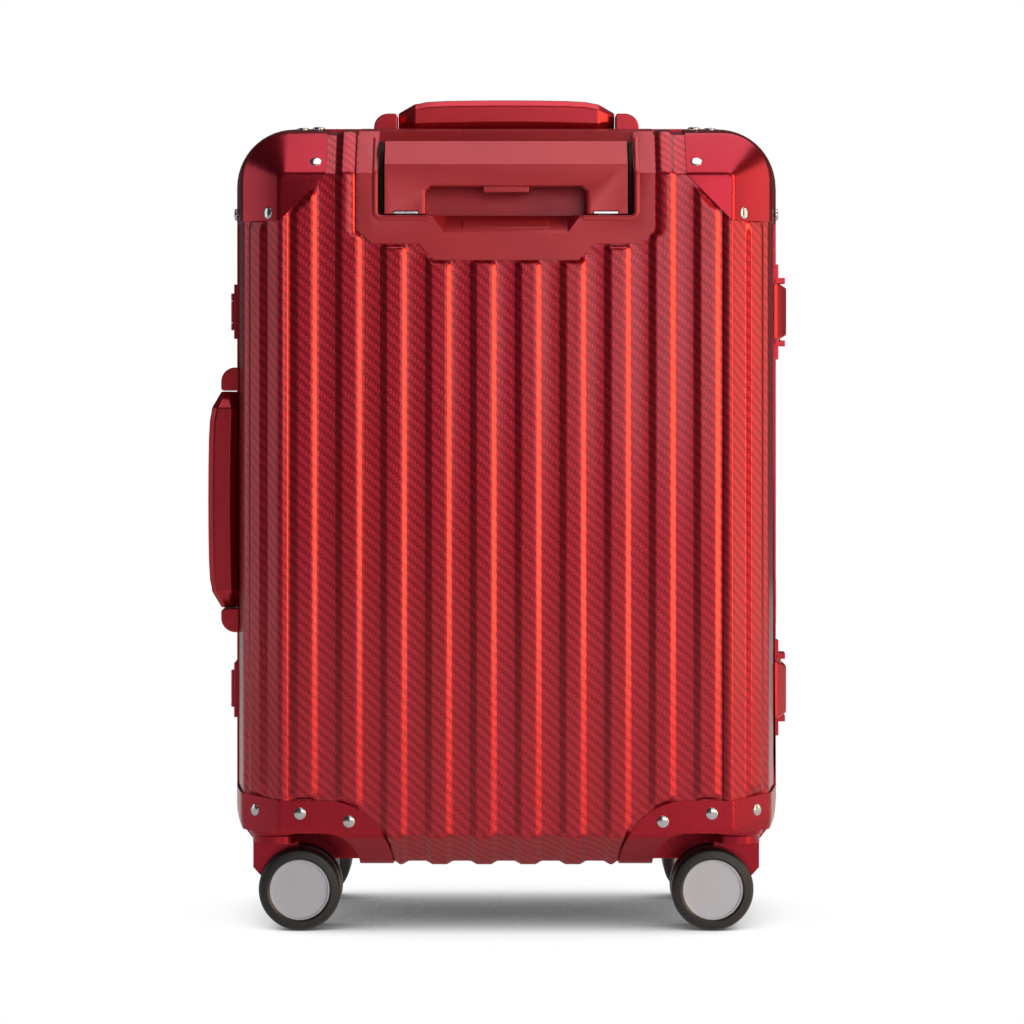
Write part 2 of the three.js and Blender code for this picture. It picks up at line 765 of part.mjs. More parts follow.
hingeZ.forEach((z, i) => {
  const level = ["lower", "upper"][i];
  const seat = new THREE.Group();
  seat.position.set(0, 0, z);
  caseFront.add(seat);
  part(seat, "latch_base_" + level, latchBase(), redPaint);
  part(seat, "latch_lever_" + level, latchLever(), redPaint);
  const half = latch.height / 2 + clearance + 4;
  const pin = rod("z", latchPin, -half, half, [latchPivotX, latch.pivotY], 16);
  part(seat, "latch_pin_" + level, pin, brightMetal);
});

// Key lock on the lid's frame below the middle.
const lockX = frameSide + clearance;
const lockHole = rod("x", lock.radius + 0.2, lockX - 1, lockX + 5, [2 + lock.depth / 2, 0], 20);
const lockSeat = new THREE.Group();
lockSeat.position.set(0, 0, hingeZ[0] + lock.aboveLatch);
caseFront.add(lockSeat);
const lockHalf = lock.height / 2;
const lockStart = 2; // past the seam, on the lid's frame
const lockFace = lockX + lock.thickness - clearance;
const lockPlate = block(lockX, lockFace, lockStart, lockStart + lock.depth, -lockHalf, lockHalf);
part(lockSeat, "lock_plate", cut(lockPlate, lockHole), redPaint);
const cylinder = rod("x", lock.radius, lockX, lockX + lock.thickness, [2 + lock.depth / 2, 0], 20);
const keySlot = block(lockX + 0.6, lockX + 5, 1.5 + lock.depth / 2, 2.5 + lock.depth / 2, -2.6, 2.6);
part(lockSeat, "lock_cylinder", cut(cylinder, keySlot), brightMetal);

export default suitcase;
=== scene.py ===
# Hard shell cabin suitcase: the looks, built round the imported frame.
# Lengths in the dictionaries are millimetres; meshes are made in metres, in the frame's own axes.
import json
import math
from functools import partial
import bmesh
import bpy
import numpy as np
from mathutils import Matrix, Vector


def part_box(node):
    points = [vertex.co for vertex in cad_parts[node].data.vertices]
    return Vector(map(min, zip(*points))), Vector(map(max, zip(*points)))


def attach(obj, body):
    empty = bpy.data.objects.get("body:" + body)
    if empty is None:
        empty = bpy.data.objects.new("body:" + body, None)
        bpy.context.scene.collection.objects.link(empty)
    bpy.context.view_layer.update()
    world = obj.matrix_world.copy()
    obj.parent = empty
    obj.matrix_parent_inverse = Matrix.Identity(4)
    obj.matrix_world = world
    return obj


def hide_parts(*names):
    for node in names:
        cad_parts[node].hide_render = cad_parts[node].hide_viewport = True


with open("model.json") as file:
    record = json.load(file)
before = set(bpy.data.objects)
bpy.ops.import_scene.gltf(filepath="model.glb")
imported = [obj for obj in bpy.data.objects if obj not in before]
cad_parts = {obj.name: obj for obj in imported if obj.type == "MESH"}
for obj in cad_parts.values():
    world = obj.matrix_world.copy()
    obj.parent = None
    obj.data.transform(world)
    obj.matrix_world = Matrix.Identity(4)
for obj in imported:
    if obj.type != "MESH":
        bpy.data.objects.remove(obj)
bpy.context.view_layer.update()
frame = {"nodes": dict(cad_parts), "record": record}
mm = 0.001
scene = bpy.context.scene


def boxOf(node):
    low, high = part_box(node)
    return np.array(low) / mm, np.array(high) / mm


shellLow, shellHigh = boxOf("back_shell")
panelLow = boxOf("trolley_panel")[0]
gripLow = boxOf("trolley_grip")[0]

# The case's form: the flat of the large face, the sloping facets, the walls and the rim
form = {
    "depth": 113, "half": shellHigh[0], "low": shellLow[2], "high": shellHigh[2],
    "faceIn": (31, 23.4, 31.3),      # side, bottom and top, from the rim to the flat
    "facetIn": (5.5, 3.4, 4),        # the same, from the rim to the foot of the facets
    "facetDepth": 25, "rimDepth": 48, "cornerRadii": (4, 30, 37.5),
}


def srgb(code):
    # an sRGB hex value as linear red, green, blue and an alpha of 1
    parts = [int(code[i:i + 2], 16) / 255 for i in (1, 3, 5)]
    return [c / 12.92 if c <= 0.04045 else ((c + 0.055) / 1.055) ** 2.4 for c in parts] + [1]


def newMaterial(name):
    material = bpy.data.materials.new(name)
    material.use_nodes = True
    return material, material.node_tree, material.node_tree.nodes["Principled BSDF"]


def addNode(tree, kind, settings=None, links=None):
    # adds a node, sets its properties or numbered inputs, and links other nodes' sockets into it
    node = tree.nodes.new(kind)
    for key, value in (settings or {}).items():
        if isinstance(key, int) or key in node.inputs:
            node.inputs[key].default_value = value
        else:
            setattr(node, key, value)
    for key, socket in (links or {}).items():
        tree.links.new(socket, node.inputs[key])
    return node


def wire(tree, shader, tone, rough, bump):
    # links a material's colour, roughness and bump
    tree.links.new(tone.outputs[2], shader.inputs["Base Color"])
    tree.links.new(rough.outputs[0], shader.inputs["Roughness"])
    tree.links.new(bump.outputs[0], shader.inputs["Normal"])


def meshObject(name, points, faces, smooth=True):
    # points in millimetres, as an array of rows; faces as lists of indices
    mesh = bpy.data.meshes.new(name)
    mesh.from_pydata((np.asarray(points, float) * mm).tolist(), [], [list(map(int, f)) for f in faces])
    mesh.update()
    piece = bpy.data.objects.new(name, mesh)
    scene.collection.objects.link(piece)
    if smooth:
        mesh.shade_smooth()
    return piece


def gridFaces(rows, columns, wrap=False):
    # quads of a rows by columns grid of points; wrap joins the last column to the first
    across = columns if wrap else columns - 1
    i, j = np.meshgrid(np.arange(rows - 1), np.arange(across), indexing="ij")
    k = (j + 1) % columns
    quads = np.stack([i * columns + j, i * columns + k, (i + 1) * columns + k, (i + 1) * columns + j], -1)
    return quads.reshape(-1, 4)


def tubeFaces(rows, columns):
    # the quads of a tube with a face across each end
    faces = [list(f) for f in gridFaces(rows, columns, True)]
    return faces + [list(range(columns))[::-1], list(range((rows - 1) * columns, rows * columns))]


def bend(a, b, c, reach, steps=5):
    # rows of a quadratic curve that rounds the corner b of the path a, b, c, starting reach before it
    t = np.linspace(0, 1, steps)[:, None]
    start = b + (a - b) * min(0.5, reach / np.linalg.norm((a - b)[:4]))
    end = b + (c - b) * min(0.5, reach / np.linalg.norm((c - b)[:4]))
    return (1 - t) ** 2 * start + 2 * t * (1 - t) * b + t ** 2 * end


def caseLevels(offset, crease, rim):
    # rows of depth, half width, low, high and corner radius from the large face to the rim, moved out
    # by offset. Each row is one rounded rectangle; the creases between face, facet and wall are rounded
    # over crease
    miter = math.tan(math.pi / 8) * offset
    (s0, b0, t0), (s1, b1, t1) = form["faceIn"], form["facetIn"]
    r0, r1, r2 = form["cornerRadii"]
    half, low, high, depth = form["half"], form["low"], form["high"], form["depth"]
    face = np.array([depth + offset, half - s0 + miter, low + b0 - miter, high - t0 + miter, r0 + miter])
    facet = np.array([depth - form["facetDepth"] + miter, half - s1 + offset, low + b1 - offset,
                      high - t1 + offset, r1 + offset])
    wall = np.array([form["rimDepth"], half + offset, low - offset, high + offset, r2 + offset])
    edge = wall.copy()
    edge[0] = rim
    inner = face + np.array([0, -10, 10, -10, 0])
    rows = [bend(inner, face, facet, crease), bend(face, facet, wall, crease * 1.5),
            bend(facet, wall, edge, 6, 3), edge[None]]
    return np.vstack(rows)


def ringPoints(levels, side, steps):
    # rounded rectangles as a levels by points by 3 array: four quarter arcs each, anticlockwise from
    # the +X side
    y, half, low, high, radius = (levels[:, i, None] for i in range(5))
    angle = np.linspace(0, math.pi / 2, steps)[None]
    quarters = []
    for turn, (sx, top) in enumerate([(1, 1), (-1, 1), (-1, 0), (1, 0)]):
        a = angle + turn * math.pi / 2
        cx = sx * (half - radius)
        cz = high - radius if top else low + radius
        quarters.append(np.stack([cx + radius * np.cos(a), side * y + 0 * a, cz + radius * np.sin(a)], -1))
    return np.concatenate(quarters, 1)


def formSolid(name, side, offset, crease, rim, steps=14):
    # the closed form of one half, moved out by offset, from the large face to rim
    rings = ringPoints(caseLevels(offset, crease, rim), side, steps)
    rows, columns = rings.shape[:2]
    faces = tubeFaces(rows, columns)
    if side < 0:
        faces = [f[::-1] for f in faces]
    piece = meshObject(name, rings.reshape(-1, 3), faces)
    faceOut(piece)
    return piece


def faceOut(piece):
    work = bmesh.new()
    work.from_mesh(piece.data)
    bmesh.ops.remove_doubles(work, verts=work.verts, dist=1e-6)
    bmesh.ops.recalc_face_normals(work, faces=work.faces)
    work.to_mesh(piece.data)
    work.free()


def prism(axis, name, outline, start, end):
    # an outline carried from start to end along the axis; its points are the other two coordinates, in order
    outline = np.asarray(outline, float)
    n = len(outline)
    rows = [np.insert(outline, axis, level, axis=1) for level in (start, end)]
    faces = [list(f) for f in gridFaces(2, n, True)] + [list(range(n)), list(range(n, 2 * n))[::-1]]
    piece = meshObject(name, np.vstack(rows), faces, False)
    faceOut(piece)
    return piece


prismX, prismY, prismZ = (partial(prism, axis) for axis in range(3))


def block(name, x0, x1, y0, y1, z0, z1):
    return prismY(name, [(x0, z0), (x1, z0), (x1, z1), (x0, z1)], y0, y1)


def carve(target, tool, how="DIFFERENCE"):
    # joins, cuts or intersects target with tool, for good
    step = target.modifiers.new("carve", "BOOLEAN")
    step.object, step.operation, step.solver = tool, how, "EXACT"
    bpy.context.view_layer.update()
    result = bpy.data.meshes.new_from_object(target.evaluated_get(bpy.context.evaluated_depsgraph_get()))
    target.modifiers.clear()
    target.data = result
    bpy.data.objects.remove(tool)
    return target


def lathe(name, profile, centre, axis="z", steps=48):
    # a profile of (radius, height) points turned about axis through centre
    profile = np.asarray(profile, float)
    angle = np.linspace(0, 2 * math.pi, steps, endpoint=False)[None]
    r, h = profile[:, :1], profile[:, 1:]
    a, b, c = r * np.cos(angle), r * np.sin(angle), h + 0 * angle
    order = {"z": (a, b, c), "y": (b, c, a), "x": (c, a, b)}[axis]
    points = np.stack(order, -1).reshape(-1, 3) + np.array(centre, float)
    piece = meshObject(name, points, [list(f) for f in gridFaces(len(profile), steps, True)])
    faceOut(piece)
    return piece


def smoothUnder(piece, degrees):
    # smooth shading, broken where two faces meet at more than that
    piece.data.shade_smooth()
    piece.data.set_sharp_from_angle(angle=math.radians(degrees))


def finishEdges(piece, width=0.5, angle=32, segments=2):
    # small rounded edges, and smooth shading between them
    smoothUnder(piece, angle)
    if width:
        edge = piece.modifiers.new("edges", "BEVEL")
        edge.width, edge.segments = width * mm, segments
        edge.limit_method, edge.angle_limit = "ANGLE", math.radians(angle)
        edge.harden_normals = True
    return piece


def place(piece, body, slot, material, *nodes):
    piece.data.materials.clear()
    piece.data.materials.append(material)
    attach(piece, body)
    if nodes:
        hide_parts(*nodes)
    return piece


# Materials
# the sheet is one red; the weave's dark and light tones are painted shade and light
weave = {"cell": 1.7, "lean": 1.15, "depth": 0.11, "dark": "#8A1422", "light": "#A62030"}


def embossedAluminium():
    # Anodised aluminium sheet, embossed with a 2/2 twill before the ribs are pressed: red metal with a satin
    # sheen, whose weave catches light along its stepped diagonals.
    # The darker and lighter thread tones are painted shade and light on the one red.
    material, tree, shader = newMaterial("anodisedEmbossedAluminium")
    shader.inputs["Metallic"].default_value = 0.92
    shader.inputs["Coat Weight"].default_value = 0.4
    shader.inputs["Coat Roughness"].default_value = 0.15
    uv = addNode(tree, "ShaderNodeUVMap", {"uv_map": "sheet"})
    cells = addNode(tree, "ShaderNodeVectorMath", {"operation": "MULTIPLY"}, {0: uv.outputs["UV"]})
    cells.inputs[1].default_value = (1000 / (weave["cell"] * weave["lean"]), 1000 / weave["cell"], 1)
    whole = addNode(tree, "ShaderNodeVectorMath", {"operation": "FLOOR"}, {0: cells.outputs[0]})
    part = addNode(tree, "ShaderNodeVectorMath", {"operation": "FRACTION"}, {0: cells.outputs[0]})
    at = addNode(tree, "ShaderNodeSeparateXYZ", {}, {0: whole.outputs[0]})
    inside = addNode(tree, "ShaderNodeSeparateXYZ", {}, {0: part.outputs[0]})
    step = addNode(tree, "ShaderNodeMath", {"operation": "ADD"}, {0: at.outputs["X"], 1: at.outputs["Y"]})
    four = addNode(tree, "ShaderNodeMath", {"operation": "FLOORED_MODULO", 1: 4}, {0: step.outputs[0]})
    warp = addNode(tree, "ShaderNodeMath", {"operation": "LESS_THAN", 1: 1.5}, {0: four.outputs[0]})
    # warp threads crown across their width, and weft threads across theirs
    crowns = []
    for axis in ("X", "Y"):
        arch = addNode(tree, "ShaderNodeMath", {"operation": "MULTIPLY", 1: math.pi},
                       {0: inside.outputs[axis]})
        crowns.append(addNode(tree, "ShaderNodeMath", {"operation": "SINE"}, {0: arch.outputs[0]}))
    crown = addNode(tree, "ShaderNodeMix", {"data_type": "FLOAT"},
                    {0: warp.outputs[0], 2: crowns[1].outputs[0], 3: crowns[0].outputs[0]})
    raised = addNode(tree, "ShaderNodeMath", {"operation": "MULTIPLY_ADD", 1: 0.5},
                     {0: crown.outputs[0], 2: warp.outputs[0]})
    bump = addNode(tree, "ShaderNodeBump", {"Strength": 0.8, "Distance": weave["depth"] * mm},
                   {"Height": raised.outputs[0]})
    coords = addNode(tree, "ShaderNodeTexCoord")
    cloud = addNode(tree, "ShaderNodeTexNoise", {"Scale": 18, "Detail": 4}, {0: coords.outputs["Object"]})
    fine = addNode(tree, "ShaderNodeTexNoise", {"Scale": 1400, "Detail": 2}, {0: coords.outputs["Object"]})
    # painted light and shade: warp cells take the lighter tone and the other cells the darker, for the light
    # the embossed threads catch
    threads = {"data_type": "RGBA", 6: srgb(weave["dark"]), 7: srgb(weave["light"])}
    tone = addNode(tree, "ShaderNodeMix", threads, {0: warp.outputs[0]})
    shade = addNode(tree, "ShaderNodeMix", {"data_type": "RGBA", "blend_type": "OVERLAY", 0: 0.25},
                    {6: tone.outputs[2], 7: fine.outputs[0]})
    rough = addNode(tree, "ShaderNodeMapRange", {3: 0.36, 4: 0.44}, {0: cloud.outputs[0]})
    wire(tree, shader, shade, rough, bump)
    return material


def grained(name, colour, darker, roughness, metallic, grain, depth, coat=0.0):
    # a moulded or painted surface: cloudy colour between two tones, and a fine grain and its depth in
    # millimetres
    material, tree, shader = newMaterial(name)
    shader.inputs["Metallic"].default_value = metallic
    shader.inputs["Coat Weight"].default_value = coat
    shader.inputs["Coat Roughness"].default_value = 0.2
    coords = addNode(tree, "ShaderNodeTexCoord")
    cloud = addNode(tree, "ShaderNodeTexNoise", {"Scale": 25, "Detail": 5}, {0: coords.outputs["Object"]})
    fine = addNode(tree, "ShaderNodeTexNoise", {"Scale": 1000 / grain, "Detail": 2},
                   {0: coords.outputs["Object"]})
    both = addNode(tree, "ShaderNodeMath", {"operation": "MULTIPLY_ADD", 1: 0.5},
                   {0: cloud.outputs[0], 2: fine.outputs[0]})
    share = addNode(tree, "ShaderNodeMapRange", {1: 0.55, 2: 0.95}, {0: both.outputs[0]})
    tone = addNode(tree, "ShaderNodeMix", {"data_type": "RGBA", 6: srgb(darker), 7: srgb(colour)},
                   {0: share.outputs[0]})
    rough = addNode(tree, "ShaderNodeMapRange", {1: 0.3, 2: 0.7, 3: roughness - 0.03, 4: roughness + 0.05},
                    {0: fine.outputs[0]})
    bump = addNode(tree, "ShaderNodeBump", {"Strength": 0.6, "Distance": depth * mm},
                   {"Height": fine.outputs[0]})
    wire(tree, shader, tone, rough, bump)
    return material


def brushedMetal(name, colour, roughness, across, along):
    # metal drawn along one axis: streaks across apart, stretched to along, in millimetres
    material, tree, shader = newMaterial(name)
    shader.inputs["Metallic"].default_value = 1
    coords = addNode(tree, "ShaderNodeTexCoord")
    stretch = addNode(tree, "ShaderNodeMapping", {"Scale": (1000 / across, 1000 / across, 1000 / along)},
                      {0: coords.outputs["Object"]})
    streak = addNode(tree, "ShaderNodeTexNoise", {"Scale": 1, "Detail": 3}, {0: stretch.outputs[0]})
    worn = {"data_type": "RGBA", "blend_type": "MULTIPLY", 0: 0.15, 6: srgb(colour)}
    tone = addNode(tree, "ShaderNodeMix", worn, {7: streak.outputs["Color"]})
    rough = addNode(tree, "ShaderNodeMapRange", {3: roughness * 0.8, 4: roughness * 1.2},
                    {0: streak.outputs[0]})
    tree.links.new(tone.outputs[2], shader.inputs["Base Color"])
    tree.links.new(rough.outputs[0], shader.inputs["Roughness"])
    return material


def wovenLining():
    # Woven polyester lining: matt dark grey with a little sheen, and crossed threads drawn about two
    # millimetres apart, coarser than real ones.
    material, tree, shader = newMaterial("wovenPolyester")
    shader.inputs["Roughness"].default_value = 0.85
    shader.inputs["Sheen Weight"].default_value = 0.3
    coords = addNode(tree, "ShaderNodeTexCoord")
    threads = [addNode(tree, "ShaderNodeTexWave", {"Scale": 160, "bands_direction": way},
                       {0: coords.outputs["Object"]}) for way in ("DIAGONAL", "Z")]
    cloth = addNode(tree, "ShaderNodeMath", {"operation": "MULTIPLY"},
                    {0: threads[0].outputs["Fac"], 1: threads[1].outputs["Fac"]})
    tone = addNode(tree, "ShaderNodeMix", {"data_type": "RGBA", 6: srgb("#1B1B1F"), 7: srgb("#3A3A40")},
                   {0: cloth.outputs[0]})
    bump = addNode(tree, "ShaderNodeBump", {"Strength": 0.6, "Distance": 0.2 * mm},
                   {"Height": cloth.outputs[0]})
    tree.links.new(tone.outputs[2], shader.inputs["Base Color"])
    tree.links.new(bump.outputs[0], shader.inputs["Normal"])
    return material


aluminium = embossedAluminium()
# anodised extrusion: the sheet's red without its weave, satin
frameMetal = grained("anodisedExtrusion", "#AE2636", "#9C1E2E", 0.36, 0.9, 0.9, 0.01, 0.06)
# ABS painted to match: satin, with the depth of a thin metallic base coat
guardPaint = grained("satinPaintedABS", "#98182A", "#8C1425", 0.27, 0.85, 0.5, 0.003, 0.08)
# moulded ABS with spark-eroded grain, drawn a little coarse
panelPlastic = grained("grainedABS", "#A4222C", "#8C1A26", 0.4, 0.5, 0.75, 0.16, 0.2)
# painted zinc castings: a brighter red than the guards, satin
handlePaint = grained("satinZincPaint", "#AC2430", "#9E1F2C", 0.3, 0.75, 0.6, 0.003, 0.08)
# drawn tube: long streaks along it
tubeMetal = brushedMetal("drawnAluminium", "#D5D6D8", 0.25, 0.6, 30)
# plated rivets and pins: nearly a mirror, a little soft
chrome = brushedMetal("polishedChrome", "#B4B6BA", 0.16, 2, 2)
# lacquered wheel caps: cool grey, mostly diffuse
capPaint = grained("satinSilverLacquer", "#B0B9C8", "#A8B1BF", 0.34, 0.25, 0.5, 0.01)
# cast polyurethane tyres: near black with a dull shine
tyreRubber = grained("castPolyurethane", "#17181C", "#101114", 0.42, 0, 0.6, 0.02)
# painted shade: matt near-black strips that stand in for the shade in the deep slots beside the grip
gapShadeBlack = grained("matteBlackNylon", "#08080A", "#050506", 0.85, 0, 0.6, 0.02)
lining = wovenLining()

# Shells
ribs = {"count": 10, "crest": 9.6, "foot": 17.5, "height": 2.3, "edge": 16, "round": 0.7,
        "sideCentre": 21.2, "sheet": 1.3, "fadeFrom": 0.8, "fadeTo": 3.6}
# in from the side, and drops below the shell's top
topGuard = {"inner": 60.7, "foot": 61.5, "flat": 31.3}
wheelGuard = {"arcIn": 60, "arcZ": 42, "radius": 44, "top": 87.4, "sideTop": 90.3}
well = {"radius": 24.5, "ceiling": 68.3, "inner": 22, "skin": 2.2, "gap": 0.3}
recess = {"half": 88, "drop": 66, "depth": 83, "scoopHalf": 49, "scoopDrop": 75, "scoopDepth": 97}
panel = {"half": 96.3, "shoulder": 68.3, "hip": 87, "step": 76.5, "waist": 56.7, "foot": 47, "bottom": 87.2}
faceHalf = form["half"] - form["faceIn"][0]
ribPitch = 2 * (faceHalf - ribs["edge"]) / (ribs["count"] - 1)
ribCentres = (np.arange(ribs["count"]) - (ribs["count"] - 1) / 2) * ribPitch


def softStep(x, start, end):
    t = np.clip((x - start) / (end - start), 0, 1)
    return t * t * (3 - 2 * t)


def ribProfile(distance):
    # height share of a rib at a distance from its centre: flat crest, straight slopes, rounded bends
    crest, foot, soft = ribs["crest"] / 2, ribs["foot"] / 2, ribs["round"]
    run = foot - crest
    slope = np.clip((foot - distance) / run, 0, 1)
    near = np.clip(soft - np.abs(distance - crest), 0, soft) ** 2 / (4 * soft * run)
    far = np.clip(soft - np.abs(distance - foot), 0, soft) ** 2 / (4 * soft * run)
    return slope - near + far


def toGuards(x, z):
    # how far outside the guards' outlines a point of the face lies, in millimetres; below 0 is under a
    # guard
    ax = np.abs(x)
    half, high = form["half"], form["high"]
    gx, gz = half - topGuard["inner"], high - topGuard["foot"]
    over = np.minimum(ax - gx, z - gz)
    diagonal = ((ax - gx) + (z - (high - topGuard["flat"]))) / math.sqrt(2)
    corner = -np.minimum(over, diagonal)
    g = wheelGuard
    cx = half - g["arcIn"]
    rise = (g["top"] - g["arcZ"]) / g["radius"]
    arch = (np.hypot(ax - cx, np.maximum(z - g["arcZ"], 0) / rise) - g["radius"])
    arch = np.where(ax > cx, z - g["top"], arch)
    arch = np.where(z < g["arcZ"], (cx - g["radius"]) - ax, arch)
    return np.minimum(corner, arch)


def panelOutline(grow=0.0):
    p, high = panel, form["high"]
    right = [(p["half"] + grow, high + 60), (p["half"] + grow, high - p["shoulder"]),
             (p["hip"] + grow, high - p["step"] - grow), (p["waist"] + grow, high - p["step"] - grow),
             (p["foot"] + grow, high - p["bottom"] - grow)]
    return right + [(-x, z) for x, z in right[::-1]]


def toOutline(x, z, outline):
    # signed distance from points to a closed outline, below 0 inside it
    p = np.array(outline)
    best = np.full(x.shape, 1e9)
    inside = np.zeros(x.shape, bool)
    for (ax, az), (bx, bz) in zip(p, np.roll(p, -1, 0)):
        dx, dz = bx - ax, bz - az
        t = np.clip(((x - ax) * dx + (z - az) * dz) / (dx * dx + dz * dz), 0, 1)
        best = np.minimum(best, np.hypot(x - ax - t * dx, z - az - t * dz))
        crosses = (az > z) != (bz > z)
        inside ^= crosses & (x < dx * (z - az) / np.where(dz == 0, 1e-9, dz) + ax)
    return np.where(inside, -best, best)


def normalsOf(points):
    # unit normals of a grid of points, from its two directions
    a = np.gradient(points, axis=0)
    b = np.gradient(points, axis=1)
    n = np.cross(a, b)
    return n / np.maximum(np.linalg.norm(n, axis=-1, keepdims=True), 1e-9)


def unionRows(*parts):
    return np.unique(np.round(np.concatenate(parts), 4))


def ribbedShell(side):
    # one half: a middle sheet of ribs carried over the facets from rim to rim, and two side sheets
    # round the corners. The height of each rib fades out just short of the guards and the trolley panel
    levels = caseLevels(0, 2, 8.3)
    y, low, high = levels[:, 0], levels[:, 2], levels[:, 3]
    edge = form["half"] - form["cornerRadii"][2]        # where the corners begin
    # the path from the bottom rim over the face to the top rim, with closer rows where ribs end
    z0, z1 = low[0], high[0]
    face = unionRows(np.linspace(z0, 100, 24), np.linspace(100, 430, 14), np.linspace(430, z1, 46))
    flat = np.full(len(face) - 2, y[0])
    fine = np.linspace(0, len(levels) - 1, 3 * len(levels) - 2)
    index = np.arange(len(levels))
    pathY, pathLow, pathHigh = (np.interp(fine, index, c) for c in (y, low, high))
    py = np.concatenate([pathY[::-1], flat, pathY])
    pz = np.concatenate([pathLow[::-1], face[1:-1], pathHigh])
    arc = np.concatenate([[0], np.cumsum(np.hypot(np.diff(py), np.diff(pz)))])
    arc += z0 - arc[len(fine) - 1]
    offsets = np.array([0, 3, 4.1, 4.45, 4.8, 5.15, 5.5, 6.8, 8.05, 8.4, 8.75, 9.1, 9.45])
    columns = unionRows(*[c + s * offsets for c in ribCentres for s in (-1, 1)], np.array([-edge, edge]))
    columns = columns[np.abs(columns) <= edge]
    X, Z = np.meshgrid(columns, pz)
    Y = np.meshgrid(columns, py)[1]
    nearest = np.min(np.abs(X[..., None] - ribCentres), -1)
    fade = softStep(toGuards(X, Z), ribs["fadeFrom"], ribs["fadeTo"])
    if side < 0:
        fade = fade * softStep(toOutline(X, Z, panelOutline()), ribs["fadeFrom"], ribs["fadeTo"])
    fade = fade * softStep(Y, 50, 62)
    height = ribs["height"] * ribProfile(nearest) * fade
    points = np.stack([X, side * Y, Z], -1)
    out = normalsOf(points) * (1 if side < 0 else -1)
    centre = np.array([0, 0, (low[-1] + high[-1]) / 2])
    flip = np.sign(np.sum(out * (points - centre), -1, keepdims=True))
    points = points + out * flip * height[..., None]
    uv = np.stack([X, np.meshgrid(columns, arc)[1]], -1)
    sheets = [(points, uv)]
    # side sheets: from the edge of the middle sheet round the corners, level by level
    way = np.concatenate([[0], np.cumsum(np.hypot(np.diff(levels[:, 1]), np.diff(levels[:, 0])))])
    crease = faceHalf - levels[0, 1]
    run = unionRows(way, np.linspace(way[-1] - 40, way[-1], 5), crease + np.linspace(4, 32, 9),
                    *[crease + ribs["sideCentre"] + s * offsets for s in (-1, 1)])
    lv = np.stack([np.interp(run, way, levels[:, i]) for i in range(5)], 1)
    start = np.column_stack([lv[:1, 0], [[edge]], lv[:1, 2:4], [[0]]])
    lv = np.vstack([start, lv])
    run = np.concatenate([[0], run + lv[1, 1] - edge])
    angle = np.linspace(0, math.pi / 2, 16)[None]
    ly, lh, ll, lt, lr = (lv[:, i, None] for i in range(5))
    cz = [lt - lr, ll + lr]
    straight = unionRows(np.linspace(0, 0.12, 12), np.linspace(0.12, 0.88, 12), np.linspace(0.88, 1, 18))
    straight = straight[None, 1:-1]
    top = (edge + 0 * lt, lt)
    arcTop = (lh - lr + lr * np.sin(angle), cz[0] + lr * np.cos(angle))
    wall = (lh + 0 * straight, cz[0] + (cz[1] - cz[0]) * straight)
    arcLow = (lh - lr + lr * np.cos(angle), cz[1] - lr * np.sin(angle))
    bottom = (edge + 0 * ll, ll)
    xs, zs = (np.hstack([p[i] for p in (top, arcTop, wall, arcLow, bottom)]) for i in (0, 1))
    ys = ly + 0 * xs
    along = run[:, None] - (faceHalf - edge)
    height = ribs["height"] * ribProfile(np.abs(along - ribs["sideCentre"]))
    room = np.minimum(form["high"] - topGuard["foot"] - zs, zs - wheelGuard["sideTop"])
    height = height * softStep(room, ribs["fadeFrom"], ribs["fadeTo"])
    for hand in (-1, 1):
        sheet = np.stack([hand * xs, side * ys, zs], -1)
        out = normalsOf(sheet)
        flip = np.sign(np.sum(out * (sheet - centre), -1, keepdims=True))
        sheet = sheet + out * flip * height[..., None]
        sheets.append((sheet, np.stack([hand * (edge + run[:, None] + 0 * xs), zs], -1)))
    return sheets


